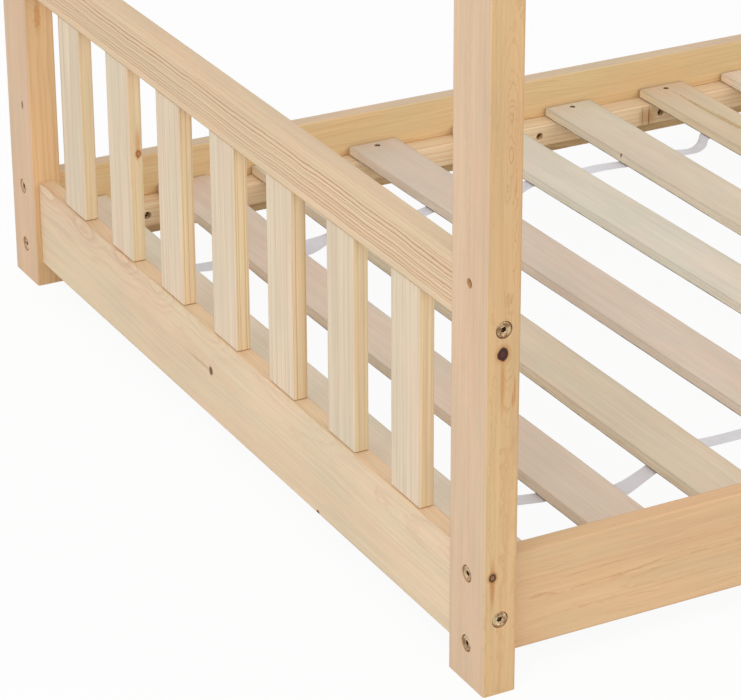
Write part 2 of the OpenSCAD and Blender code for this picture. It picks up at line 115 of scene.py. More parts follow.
class Tree:
    """Adds nodes to one shader tree and links them."""

    def __init__(self, tree: bpy.types.NodeTree) -> None:
        """Keeps the tree that the nodes go into."""
        self.tree = tree

    def node(self, kind: str, **settings: object) -> bpy.types.Node:
        """Adds a node.

        Args:
            kind: The node's type, without the leading ShaderNode.
            **settings: Properties to set on it.

        Returns:
            The new node.
        """
        made = self.tree.nodes.new("ShaderNode" + kind)
        for name, value in settings.items():
            setattr(made, name, value)
        return made

    def feed(self, socket: Socket, value: object) -> None:
        """Links a socket into another, or sets it to a plain value.

        Args:
            socket: The input to fill.
            value: An output socket, a number, or a colour or vector.
        """
        if isinstance(value, Socket):
            self.tree.links.new(value, socket)
        elif isinstance(value, (int, float)):
            socket.default_value = value
        else:
            wanted = len(socket.default_value)
            socket.default_value = (tuple(value) + (1.0,))[:wanted]

    def math(self, operation: str, *values: object, clamp: bool = False) -> Socket:
        """Adds a Math node.

        Args:
            operation: The node's operation.
            *values: Its inputs, as sockets or numbers.
            clamp: Whether the result is held between 0 and 1.

        Returns:
            The result's socket.
        """
        made = self.node("Math", operation=operation, use_clamp=clamp)
        for socket, value in zip(made.inputs, values):
            self.feed(socket, value)
        return made.outputs[0]

    def vector(self, operation: str, *values: object) -> Socket:
        """Adds a Vector Math node.

        Args:
            operation: The node's operation.
            *values: Its inputs, as sockets or vectors.

        Returns:
            The result's socket: a number for LENGTH and DOT_PRODUCT.
        """
        made = self.node("VectorMath", operation=operation)
        for socket, value in zip(made.inputs, values):
            self.feed(socket, value)
        single = operation in ("LENGTH", "DOT_PRODUCT", "DISTANCE")
        return made.outputs["Value" if single else "Vector"]

    def scaled(self, value: object, factor: object) -> Socket:
        """Multiplies a vector or colour by a number.

        Args:
            value: The vector or colour.
            factor: The number, as a socket or a plain value.

        Returns:
            The scaled vector.
        """
        made = self.node("VectorMath", operation="SCALE")
        self.feed(made.inputs["Vector"], value)
        self.feed(made.inputs["Scale"], factor)
        return made.outputs["Vector"]

    def times(self, one: object, other: object) -> Socket:
        """Multiplies two numbers."""
        return self.math("MULTIPLY", one, other)

    def plus(self, one: object, other: object) -> Socket:
        """Adds two numbers."""
        return self.math("ADD", one, other)

    def blend(self, value: Socket, factor: float, offset: object) -> Socket:
        """Multiplies a number by a factor and adds an offset."""
        return self.math("MULTIPLY_ADD", value, factor, offset)

    def spread(self, value: Socket, reach: float) -> Socket:
        """Maps 0 to 1 onto the reach to both sides of 0."""
        return self.blend(value, 2.0 * reach, -reach)

    def parts(self, value: Socket) -> list[Socket]:
        """Takes a vector apart.

        Args:
            value: The vector.

        Returns:
            Its three parts.
        """
        made = self.node("SeparateXYZ")
        self.feed(made.inputs[0], value)
        return list(made.outputs)

    def noise(
        self, place: Socket, scale: float, detail: float = 2.0, roughness: float = 0.5,
        seed: object = 0.0,
    ) -> Socket:
        """Adds four-dimensional noise.

        Args:
            place: Where the noise is read.
            scale: Its scale.
            detail: How many finer layers it has.
            roughness: How strong the finer layers are.
            seed: The fourth coordinate, which sets one board apart from another.

        Returns:
            The noise value, around 0.5.
        """
        made = self.node("TexNoise", noise_dimensions="4D")
        for name, value in (
            ("Vector", place),
            ("W", seed),
            ("Scale", scale),
            ("Detail", detail),
            ("Roughness", roughness),
        ):
            self.feed(made.inputs[name], value)
        return made.outputs["Fac"]

    def span(
        self, value: object, low: float, high: float, to_low: float = 0.0, to_high: float = 1.0
    ) -> Socket:
        """Maps a value smoothly from one span to another.

        Args:
            value: The value to map.
            low: Where the span starts.
            high: Where the span ends.
            to_low: The result at its start.
            to_high: The result at its end.

        Returns:
            The mapped value, which stays inside the new span.
        """
        made = self.node("MapRange", interpolation_type="SMOOTHSTEP")
        for socket, given in zip(made.inputs, (value, low, high, to_low, to_high)):
            self.feed(socket, given)
        return made.outputs["Result"]

    def mix(self, share: object, one: object, other: object, how: str = "MIX") -> Socket:
        """Mixes two colours.

        Args:
            share: How much of the other colour is used.
            one: The first colour.
            other: The other colour.
            how: The blend mode.

        Returns:
            The mixed colour.
        """
        made = self.node("Mix", data_type="RGBA", blend_type=how)
        for name, value in (("Factor_Float", share), ("A_Color", one), ("B_Color", other)):
            socket = next(s for s in made.inputs if s.identifier == name)
            self.feed(socket, value)
        return next(s for s in made.outputs if s.identifier == "Result_Color")

    def tint(self, share: object, colour: object, tint: Colour) -> Socket:
        """Multiplies a colour by a tint, as far as the share says."""
        return self.mix(share, colour, self.mix(1.0, colour, tint, "MULTIPLY"))

    def bump(self, height: Socket, strength: float, distance: float) -> Socket:
        """Adds a Bump node.

        Args:
            height: The height of the surface.
            strength: How strongly it shows.
            distance: The height in metres that a height of 1 stands for.

        Returns:
            The changed normal.
        """
        made = self.node("Bump")
        for name, value in (("Strength", strength), ("Distance", distance), ("Height", height)):
            self.feed(made.inputs[name], value)
        return made.outputs["Normal"]

    def steps(self, value: object, stops: Profile) -> Socket:
        """Maps a value through a curve of straight stretches.

        Args:
            value: A value from 0 to 1.
            stops: Pairs of place and brightness.

        Returns:
            The brightness.
        """
        made = self.node("ValToRGB")
        ramp = made.color_ramp
        while len(ramp.elements) < len(stops):
            ramp.elements.new(0.5)
        for element, (place, level) in zip(ramp.elements, stops):
            element.position = place
            element.color = (level, level, level, 1.0)
        self.feed(made.inputs["Fac"], value)
        return made.outputs["Color"]


def new_material(name: str) -> tuple[bpy.types.Material, Tree, bpy.types.Node]:
    """Makes a material with nodes.

    Args:
        name: Its name.

    Returns:
        The material, its tree and its main shader.
    """
    made = bpy.data.materials.new(name)
    made.use_nodes = True
    return made, Tree(made.node_tree), made.node_tree.nodes["Principled BSDF"]


class Grain(Enum):
    """Noises that are drawn out along the grain.

    Each has its pace per metre along, across and through the board, its
    number of finer layers, and a seed that sets it apart from the others.
    """

    FIBRE = ((9.0, 380.0, 380.0), 4.0, 7.0)
    BROAD = ((5.0, 22.0, 22.0), 2.0, 3.0)
    # Strays the border of the painted shade along the lower edge of the narrow faces.
    SHADE_BORDER = ((40.0, 0.0, 0.0), 3.0, 53.0)
    STROKE = ((26.0, 170.0, 170.0), 2.0, 47.0)
    BORDER = ((7.0, 10.0, 10.0), 1.0, 41.0)
    STREAK = ((2.4, 150.0, 150.0), 3.0, 5.0)
    PATCH = ((9.0, 34.0, 34.0), 2.0, 13.0)
    PORES = ((55.0, 1500.0, 1500.0), 1.0, 17.0)
    RIPPLE = ((14.0, 60.0, 60.0), 3.0, 31.0)
    JAG = ((75.0, 210.0, 210.0), 3.0, 37.0)


@dataclass(frozen=True)
class Knot:
    """A knot in a board.

    Attributes:
        along: Distance of its middle from the board's middle, along the grain.
        across: Distance from the board's middle, across the face it comes out of.
        depth: How deep its middle lies, from the board's middle towards that face.
        radius: Its radius at the face.
        face: The kind of face it comes out of.
        core: The colour of its rim, where the bark was.
        eye: The colour of its middle.
        halo: The colour of the stained wood round it.
        streak: How far the stain runs along the grain, in radii.
        lean: How far the stain sits to one side along the grain, in streaks.
        slender: Half the stain's width, in radii.
        stretch: How much longer the knot is along the grain than across it.
        push: How far it pushes the rings aside, in radii.
        rough: How uneven its outline is, in radii.
    """

    along: float
    across: float
    depth: float
    radius: float
    face: Face = Face.WIDE
    core: Colour = srgb(84, 48, 34)
    eye: Colour = srgb(134, 84, 56)
    halo: Colour = srgb(204, 146, 92)
    streak: float = 3.0
    lean: float = 0.0
    slender: float = 1.0
    stretch: float = 1.15
    push: float = 1.1
    rough: float = 0.5


@dataclass(frozen=True)
class Figure:
    """A place where the rings bulge, which a flat-sawn face shows as loops.

    Attributes:
        middle: Its middle in the board's own axes.
        reach: How far it reaches along those axes.
        lift: How far it pushes the rings out, in metres.
        gain: How much stronger the rings show there.
        warm: How much pinker the wood is there.
        crest: How flat its top is: 1 for a round bulge, 2 for a ridge.
    """

    middle: tuple[float, float, float]
    reach: tuple[float, float, float]
    lift: float
    gain: float = 0.0
    warm: float = 0.0
    crest: float = 1.0


@dataclass(frozen=True)
class PineFinish:
    """Bare planed pine, with growth rings that run right through a board.

    Attributes:
        early: The colour of the pale wood between the rings.
        late: The colour of the rings.
        edge: The tint of the narrow faces, as a multiplier: partly the edge grain's own colour, partly
            painted light and shade for how the lamps fall on those faces.
        blush: The tint of the softer streaks along the grain, as a multiplier.
        ring: The distance between rings.
        line: The share of a ring that is dark wood.
        heart: Where the tree's heart lies, across and through the board.
        wander: How far the heart wanders sideways along the board.
        pace: How often it wanders, per metre.
        tilt: How far the rings rise through the board along it.
        ripple: How far the rings ripple.
        jag: How far they stray in short, sharp turns.
        torn: How far they break up into short strokes, as a share.
        contrast: How strong the rings are on the wide faces.
        edge_contrast: How strong they are on the narrow faces.
        band: The part of the width where the rings show, if not all of it.
        outside: How strong they are outside the band, as a share.
        streaks: How strong the softer streaks are.
        mottle: How strong the broad changes of tone are.
        nap: How strong the fine fibres are.
        soil_and_shade: How strong the painted shade along the lower edge of the narrow faces is.
        rim: How much lighter the rounded edges are, as a painted highlight; below 0 it paints shade there
            instead.
        roughness: The surface's roughness.
        relief: The height of the grain.
        seed: Sets one board apart from another.
        knots: The board's knots.
        figures: The board's bulging rings.
        cool: The tint of the paler patches.
        warm: The tint of the pinker patches.
        flushed: The tint where the rings bulge.
        under_shade_tint: The tint of the painted shade along the lower edge.
        under_shade_from: Where the painted shade starts and is full, from the middle down.
        under_shade_strays: How far the painted shade's border strays.
        end_grain: The tint of the sawn ends.
        end_share: How much of that tint shows.
        border: Half the width of the band's soft border.
        border_strays: How far that border strays.
        pore_depth: How much darker the pores are.
    """

    early: Colour = srgb(230, 203, 168)
    late: Colour = srgb(206, 160, 112)
    edge: Colour = (1.0, 0.91, 0.74)
    blush: Colour = (0.99, 0.94, 0.89)
    ring: float = 0.0032
    line: float = 0.34
    heart: tuple[float, float] = (0.05, 0.08)
    wander: float = 0.012
    pace: float = 1.6
    tilt: float = 0.0
    ripple: float = 0.0012
    jag: float = 0.0003
    torn: float = 0.0
    contrast: float = 0.42
    edge_contrast: float = 0.55
    band: tuple[float, float] | None = None
    outside: float = 0.15
    streaks: float = 0.5
    mottle: float = 0.06
    nap: float = 0.34
    soil_and_shade: float = 0.0
    rim: float = 0.05
    roughness: float = 0.56
    relief: float = 0.00012
    seed: float = 0.0
    knots: tuple[Knot, ...] = ()
    figures: tuple[Figure, ...] = ()

    cool, warm = (0.97, 1.0, 0.985), (1.02, 0.985, 0.97)
    flushed = (1.0, 0.90, 0.86)
    under_shade_tint = (0.36, 0.31, 0.27)
    under_shade_from = (0.0030, 0.0044)
    under_shade_strays = 0.0015
    end_grain = (0.86, 0.74, 0.6)
    end_share = 0.8
    border = 0.002
    border_strays = 0.006
    pore_depth = 0.12

    def material(self, name: str, place: Matrix, wide: bool = True) -> bpy.types.Material:
        """Makes the finish for one board.

        Args:
            name: The material's name.
            place: The board's own axes in the row frame: along the grain,
                across its width and through its thickness.
            wide: Whether the board has a wide and a narrow pair of faces.

        Returns:
            The material.
        """
        made, tree, surface = new_material(name)
        PineTree(tree.tree, self, place).paint(surface, wide)
        return made


class PineTree(Tree):
    """The shader tree of one pine board."""

    def __init__(self, tree: bpy.types.NodeTree, wood: PineFinish, place: Matrix) -> None:
        """Reads the places and normals of the board.

        Args:
            tree: The tree that the nodes go into.
            wood: The board's finish.
            place: The board's own axes in the row frame.
        """
        super().__init__(tree)
        self.wood = wood
        self.ways = tuple(place.to_3x3().col[k] for k in range(3))
        coords = self.node("TexCoord")
        own = self.node("Mapping", vector_type="TEXTURE")
        self.feed(own.inputs["Vector"], coords.outputs["Object"])
        self.feed(own.inputs["Location"], place.translation)
        self.feed(own.inputs["Rotation"], place.to_euler())
        self.point = own.outputs["Vector"]
        self.normal = coords.outputs["Normal"]

    def paint(self, surface: bpy.types.Node, wide: bool) -> None:
        """Adds the wood and links it to the shader.

        Args:
            surface: The main shader.
            wide: Whether the board has a wide and a narrow pair of faces.
        """
        wood = self.wood
        along_way, across_way, through_way = self.ways
        knots = [self._knot_distance(knot) for knot in wood.knots]
        swells = [self._swell(figure) for figure in wood.figures]
        rings = self._rings(knots, swells)
        fibre = self._grain(Grain.FIBRE)
        broad = self._grain(Grain.BROAD)
        across = self._facing(across_way)
        strength = self._strength(across, broad, swells)
        colour = self.mix(self.math("MULTIPLY", rings, strength, clamp=True), wood.early, wood.late)
        colour = self._tone(colour, broad, fibre)
        for swell, figure in zip(swells, wood.figures):
            if figure.warm:
                colour = self.tint(self.times(swell, figure.warm), colour, wood.flushed)
        # The narrow faces' tint: partly the edge grain's own colour, partly painted light and shade.
        if wide:
            colour = self.tint(across, colour, wood.edge)
        # Painted shade along the lower edge of the narrow faces, where the underside falls into shadow.
        if wood.soil_and_shade:
            shade_border = self.spread(self._grain(Grain.SHADE_BORDER), wood.under_shade_strays)
            low = self.span(self.plus(self.parts(self.point)[2], shade_border), *wood.under_shade_from)
            low = self.times(low, self._facing(across_way, (0.10, 0.45)))
            colour = self.tint(self.times(low, wood.soil_and_shade), colour, wood.under_shade_tint)
        ends = self.times(self._facing(along_way), wood.end_share)
        colour = self.tint(ends, colour, wood.end_grain)
        # Painted highlight on the rounded edges; a rim below 0 paints shade there instead.
        flat = (self._facing(way, (0.85, 0.995)) for way in (across_way, through_way))
        flat = self.math("MAXIMUM", *flat)
        colour = self.scaled(colour, self.blend(flat, -wood.rim, 1.0 + wood.rim))
        for knot, (near, far) in zip(wood.knots, knots):
            colour = self._paint_knot(colour, knot, near, far)
        height = self.plus(self.times(rings, 0.8), self.times(fibre, 1.4))
        gloss = self.span(fibre, 0.3, 0.7, wood.roughness - 0.06, wood.roughness + 0.08)
        for name, value in (
            ("Base Color", colour),
            ("Roughness", gloss),
            ("Specular IOR Level", 0.35),
            ("Normal", self.bump(height, 0.35, wood.relief)),
        ):
            self.feed(surface.inputs[name], value)

    def _grain(self, grain: Grain) -> Socket:
        """Adds one of the noises along the grain.

        Args:
            grain: Which one.

        Returns:
            The noise value, around 0.5.
        """
        pace, detail, layer = grain.value
        drawn_out = self.vector("MULTIPLY", self.point, pace)
        return self.noise(drawn_out, 1.0, detail, 0.58, self.wood.seed + layer)

    def _strength(self, across: Socket, broad: Socket, swells: list[Socket]) -> Socket:
        """Works out how strongly the rings show.

        Args:
            across: 1 on the narrow faces.
            broad: The broad noise.
            swells: How near the place is to each bulge of the rings.

        Returns:
            The strength.
        """
        wood = self.wood
        strength = self.blend(across, wood.edge_contrast - wood.contrast, wood.contrast)
        strength = self.times(strength, self.span(broad, 0.25, 0.75, 0.55, 1.2))
        if wood.torn:
            stroke = self._grain(Grain.STROKE)
            stroke = self.span(stroke, 0.42, 0.60, 1.0 - wood.torn, 1.0 + wood.torn)
            strength = self.times(strength, stroke)
        if wood.band:
            loose = self.spread(self._grain(Grain.BORDER), wood.border_strays)
            place = self.plus(self.parts(self.point)[1], loose)
            low, high = wood.band
            inside = self.times(
                self.span(place, low - wood.border, low + wood.border),
                self.span(place, high - wood.border, high + wood.border, 1.0, 0.0),
            )
            share = self.blend(inside, 1.0 - wood.outside, wood.outside)
            strength = self.times(strength, share)
        for swell, figure in zip(swells, wood.figures):
            if figure.gain:
                strength = self.plus(strength, self.times(swell, figure.gain))
        return strength

    def _tone(self, colour: Socket, broad: Socket, fibre: Socket) -> Socket:
        """Lays soft streaks, pinker and paler patches and fine fibres over a colour.

        Args:
            colour: The colour of the rings.
            broad: The broad noise.
            fibre: The fine noise.

        Returns:
            The changed colour.
        """
        wood = self.wood
        streak = self.span(self._grain(Grain.STREAK), 0.38, 0.66)
        colour = self.tint(self.times(streak, wood.streaks), colour, wood.blush)
        patch = self.span(self._grain(Grain.PATCH), 0.3, 0.7)
        colour = self.mix(1.0, colour, self.mix(patch, wood.cool, wood.warm), "MULTIPLY")
        pores = self.span(self._grain(Grain.PORES), 0.66, 0.8)
        tone = self.span(broad, 0.2, 0.8, 1.0 - wood.mottle, 1.0 + wood.mottle * 0.6)
        tone = self.plus(tone, self.spread(fibre, wood.nap / 2))
        return self.scaled(colour, self.blend(pores, -wood.pore_depth, tone))

    def _facing(self, way: Vector, limits: tuple[float, float] = (0.45, 0.85)) -> Socket:
        """Tells the faces that look along an axis from the others.

        Args:
            way: The axis.
            limits: How squarely a face looks along it, where the result starts
                and stops rising.

        Returns:
            0 on the other faces, rising to 1 on those that look along it.
        """
        turned = self.math("ABSOLUTE", self.vector("DOT_PRODUCT", self.normal, way))
        return self.span(turned, *limits)

    def _swell(self, figure: Figure) -> Socket:
        """Tells how near a place is to a bulge of the rings.

        Args:
            figure: The bulge.

        Returns:
            1 at its middle, falling off around it.
        """
        away = self.vector("SUBTRACT", self.point, figure.middle)
        away = self.vector("LENGTH", self.vector("DIVIDE", away, figure.reach))
        steep = self.math("POWER", away, 2.0 * figure.crest)
        return self.math("EXPONENT", self.times(steep, -1.0))

    def _rings(self, knots: list[tuple[Socket, Socket]], swells: list[Socket]) -> Socket:
        """Adds the growth rings.

        Args:
            knots: The distances from each knot.
            swells: How near the place is to each bulge of the rings.

        Returns:
            0 in the pale wood, rising to 1 in the dark wood of each ring.
        """
        wood = self.wood
        lengthways = self.vector("MULTIPLY", self.point, (wood.pace, 0.0, 0.0))
        shifts = []
        for layer in (11.0, 23.0):
            sway = self.noise(lengthways, 1.0, 2.0, 0.45, wood.seed + layer)
            shifts.append(self.spread(sway, wood.wander))
        shift = self.node("CombineXYZ")
        self.feed(shift.inputs["Y"], shifts[0])
        self.feed(shift.inputs["Z"], shifts[1])
        flat = self.vector("MULTIPLY", self.point, (0.0, 1.0, 1.0))
        flat = self.vector("ADD", flat, shift.outputs["Vector"])
        reach = self.vector("DISTANCE", flat, (0.0, *wood.heart))
        for grain, strays in ((Grain.RIPPLE, wood.ripple), (Grain.JAG, wood.jag)):
            reach = self.plus(reach, self.spread(self._grain(grain), strays))
        if wood.tilt:
            reach = self.plus(reach, self.vector("DOT_PRODUCT", self.point, (wood.tilt, 0.0, 0.0)))
        for knot, (near, _) in zip(wood.knots, knots):
            push = self.math("EXPONENT", self.times(self.times(near, near), -0.12))
            reach = self.blend(push, knot.radius * knot.push, reach)
        for swell, figure in zip(swells, wood.figures):
            reach = self.blend(swell, figure.lift, reach)
        turns = self.math("DIVIDE", reach, wood.ring)
        uneven = self.node("TexNoise", noise_dimensions="1D")
        self.feed(uneven.inputs["W"], self.blend(turns, 0.45, wood.seed))
        uneven.inputs["Scale"].default_value = 1.0
        uneven.inputs["Detail"].default_value = 1.0
        turns = self.plus(turns, self.times(uneven.outputs["Fac"], 1.5))
        dark = self.steps(
            self.math("FRACT", turns),
            [
                (0.0, 0.12),
                (0.10, 0.0),
                (1.0 - 1.7 * wood.line, 0.08),
                (1.0 - 0.7 * wood.line, 0.6),
                (1.0 - 0.2 * wood.line, 1.0),
                (1.0, 0.3),
            ],
        )
        each = self.node("TexWhiteNoise", noise_dimensions="1D")
        self.feed(each.inputs["W"], self.math("FLOOR", turns))
        return self.times(dark, self.blend(each.outputs["Value"], 0.5, 0.5))

    def _knot_distance(self, knot: Knot) -> tuple[Socket, Socket]:
        """Measures how far a place lies from a knot, in the knot's radii.

        Args:
            knot: The knot.

        Returns:
            The distance from it, and the distance from its stain.
        """

        def order(along: float, across: float, depth: float) -> tuple[float, float, float]:
            """Sets values in the order of the board's axes."""
            return (along, depth, across) if knot.face is Face.NARROW else (along, across, depth)

        away = self.vector("SUBTRACT", self.point, order(knot.along, knot.across, knot.depth))
        wobble = self.noise(self.point, 0.7 / knot.radius, 2.0, 0.6, self.wood.seed)
        size = order(knot.radius * knot.stretch, knot.radius, knot.radius * 3.5)
        near = self.vector("LENGTH", self.vector("DIVIDE", away, size))
        near = self.plus(near, self.spread(wobble, knot.rough / 2))
        length = knot.radius * knot.streak
        stain = self.vector("SUBTRACT", away, (length * knot.lean, 0.0, 0.0))
        size = order(length, knot.radius * knot.slender, knot.radius * 3.5)
        far = self.vector("LENGTH", self.vector("DIVIDE", stain, size))
        return near, far

    def _paint_knot(self, colour: Socket, knot: Knot, near: Socket, far: Socket) -> Socket:
        """Lays a knot's stain and core over the board's colour.

        Args:
            colour: The board's colour so far.
            knot: The knot.
            near: The distance from it, in radii.
            far: The distance from its stain.

        Returns:
            The colour with the knot on it.
        """
        colour = self.mix(self.span(far, 0.2, 1.4, 0.7, 0.0), colour, knot.halo)
        colour = self.mix(self.span(near, 1.0, 1.7, 0.6, 0.0), colour, knot.halo)
        grown = self.math("ABSOLUTE", self.math("SINE", self.times(near, 6.0)))
        inner = self.times(self.span(near, 0.35, 0.8, 1.0, 0.25), grown)
        core = self.mix(inner, knot.core, knot.eye)
        return self.mix(self.span(near, 0.85, 1.1, 1.0, 0.0), colour, core)


@dataclass(frozen=True)
class MetalFinish:
    """Plated metal with faint handling marks.

    Attributes:
        bright: The colour where the plating is clean.
        dull: The colour of the darker clouds: partly thin or stained plating, partly painted dark
            reflection.
        roughness: The surface's roughness.
        cloud: How often the plating and its painted dark reflections change, per metre.
        marks: How often the handling marks come, per metre.
    """

    bright: Colour = srgb(212, 188, 148)
    dull: Colour = srgb(140, 104, 74)
    roughness: float = 0.26

    cloud = 210.0
    marks = 1400.0

    def material(self, name: str) -> bpy.types.Material:
        """Makes the finish.

        Args:
            name: The material's name.

        Returns:
            The material.
        """
        made, tree, surface = new_material(name)
        point = tree.node("TexCoord").outputs["Object"]
        # Clouds of the dull colour: partly uneven plating, partly painted dark reflection.
        cloud = tree.span(tree.noise(point, self.cloud, 3.0, 0.6), 0.38, 0.62)
        marks = tree.noise(point, self.marks, 2.0, 0.6)
        gloss = tree.span(marks, 0.3, 0.7, self.roughness - 0.06, self.roughness + 0.12)
        tree.feed(surface.inputs["Base Color"], tree.mix(cloud, self.bright, self.dull))
        tree.feed(surface.inputs["Roughness"], gloss)
        tree.feed(surface.inputs["Metallic"], 1.0)
        return made


@dataclass(frozen=True)
class WebbingFinish:
    """Woven polyester webbing.

    Attributes:
        yarn: The colour of the raised yarns.
        gap: The colour between them.
        rib: The distance between two ribs of the weave.
        relief: The height of the yarns.
    """

    yarn: Colour = srgb(240, 239, 243)
    gap: Colour = srgb(212, 212, 220)
    rib: float = 0.0016
    relief: float = 0.0003

    def material(self, name: str) -> bpy.types.Material:
        """Makes the finish.

        Args:
            name: The material's name.

        Returns:
            The material.
        """
        made, tree, surface = new_material(name)
        point = tree.node("TexCoord").outputs["Object"]
        along, across, _ = tree.parts(point)
        turn = 2.0 * math.pi / self.rib
        warp, weft = (
            tree.math("SINE", tree.times(tree.math(way, along, across), turn))
            for way in ("ADD", "SUBTRACT")
        )
        weave = tree.blend(tree.times(warp, weft), 0.5, 0.5)
        colour = tree.mix(tree.span(weave, 0.2, 0.8), self.gap, self.yarn)
        soil_and_shade = tree.span(tree.noise(point, 24.0, 3.0, 0.6), 0.3, 0.7, 0.92, 1.02)
        for name, value in (
            ("Base Color", tree.scaled(colour, soil_and_shade)),
            ("Roughness", 0.78),
            ("Sheen Weight", 0.25),
            ("Normal", tree.bump(weave, 0.6, self.relief)),
        ):
            tree.feed(surface.inputs[name], value)
        return made


def turn_profile(mesh: Mesh, profile: Profile, place: Matrix, sides: int = 40) -> None:
    """Turns a closed profile round the local X axis.

    Args:
        mesh: The mesh that it is added to.
        profile: Pairs of place along the axis and radius, from end to end.
        place: The local axes in the row frame.
        sides: How many sides the turned form has.
    """
    rings: list[list[bmesh.types.BMVert]] = []
    for along, radius in profile:
        angles = [2 * math.pi * k / sides for k in range(sides if radius > 0 else 1)]
        spots = [Vector((along, radius * math.cos(a), radius * math.sin(a))) for a in angles]
        rings.append([mesh.verts.new(place @ spot) for spot in spots])
    for one, other in zip(rings, rings[1:]):
        for k in range(sides):
            turn = ((one, k), (one, k + 1), (other, k + 1), (other, k))
            corners = [ring[at % len(ring)] for ring, at in turn]
            mesh.faces.new(list(dict.fromkeys(corners)))


def mouth(radius: float, depth: float) -> Profile:
    """Gives the profile of a hole's mouth, with a broken edge.

    Args:
        radius: The hole's radius.
        depth: The depth down to which it has that radius.

    Returns:
        The profile, from a little above the mouth.
    """
    lead = 0.0004
    wide = radius + lead
    return [(-OVERCUT, 0.0), (-OVERCUT, wide), (0.0, wide), (lead, radius), (depth, radius)]


def own_axes(along: Vector, across: Vector, middle: Vector) -> Matrix:
    """Builds right-handed axes.

    Args:
        along: The local X axis.
        across: The local Y axis, square to it.
        middle: The origin.

    Returns:
        The axes, as a matrix from local places to the row frame.
    """
    turned = Matrix((along, across, along.cross(across))).transposed()
    return Matrix.Translation(middle) @ turned.to_4x4()


def face_outward(mesh: Mesh) -> None:
    """Turns the faces of every closed part of a mesh outward.

    Args:
        mesh: The mesh.
    """
    bmesh.ops.recalc_face_normals(mesh, faces=mesh.faces)
    mesh.normal_update()
    left = set(mesh.faces)
    while left:
        part = [left.pop()]
        for side in part:
            for edge in side.edges:
                fresh = [f for f in edge.link_faces if f in left]
                left.difference_update(fresh)
                part += fresh
        if sum(f.calc_center_median().dot(f.normal) * f.calc_area() for f in part) < 0:
            bmesh.ops.reverse_faces(mesh, faces=part)


def make_piece(name: str, mesh: Mesh, material: bpy.types.Material) -> bpy.types.Object:
    """Turns a finished mesh into an object of the scene.

    Args:
        name: The object's name.
        mesh: The mesh, which is used up.
        material: Its finish.

    Returns:
        The object.
    """
    face_outward(mesh)
    data = bpy.data.meshes.new(name)
    mesh.to_mesh(data)
    mesh.free()
    piece = bpy.data.objects.new(name, data)
    bpy.context.scene.collection.objects.link(piece)
    data.materials.append(material)
    return piece


def smooth(piece: bpy.types.Object, limit: float = 33.0) -> None:
    """Smooths a piece's shading.

    Args:
        piece: The piece.
        limit: How sharp an edge may be to be smoothed, in degrees.
    """
    piece.data.shade_smooth()
    piece.data.set_sharp_from_angle(angle=math.radians(limit))
    even = piece.modifiers.new("even_faces", "WEIGHTED_NORMAL")
    even.keep_sharp = True
    even.weight = 100


def drill(piece: bpy.types.Object, cutters: Mesh) -> None:
    """Cuts closed forms out of a piece.

    Args:
        piece: The piece to cut.
        cutters: The forms, which don't cross each other. They are used up.
    """
    tool = make_piece("drill", cutters, piece.data.materials[0])
    cut = piece.modifiers.new("drill", "BOOLEAN")
    cut.operation = "DIFFERENCE"
    cut.solver = "MANIFOLD"
    cut.object = tool
    bpy.context.view_layer.update()
    seen = piece.evaluated_get(bpy.context.evaluated_depsgraph_get())
    done = bpy.data.meshes.new_from_object(seen)
    piece.modifiers.clear()
    piece.data = done
    bpy.data.objects.remove(tool)


def stamp(whole: Mesh, pattern: bpy.types.Object, places: list[Matrix], draw: random.Random) -> None:
    """Adds copies of a pattern to a mesh, each turned at random round its own X axis.

    Args:
        whole: The mesh that they are added to.
        pattern: The pattern, which is used up.
        places: The axes of each copy.
        draw: Where the turns come from.
    """
    for place in places:
        copy = pattern.data.copy()
        copy.transform(place @ Matrix.Rotation(draw.uniform(0, math.pi), 4, "X"))
        whole.from_mesh(copy)
        bpy.data.meshes.remove(copy)
    bpy.data.objects.remove(pattern)


def hand_over(piece: bpy.types.Object, slot: str, *nodes: str) -> None:
    """Gives a finished piece to the bed.

    Args:
        piece: The piece.
        slot: The name of the record's material slot; it is not used.
        *nodes: The CAD nodes that it stands for.
    """
    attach(piece, Body.WHOLE.value)
    if nodes:
        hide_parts(*nodes)
    LOG.info("%s: %d faces", piece.name, len(piece.data.polygons))


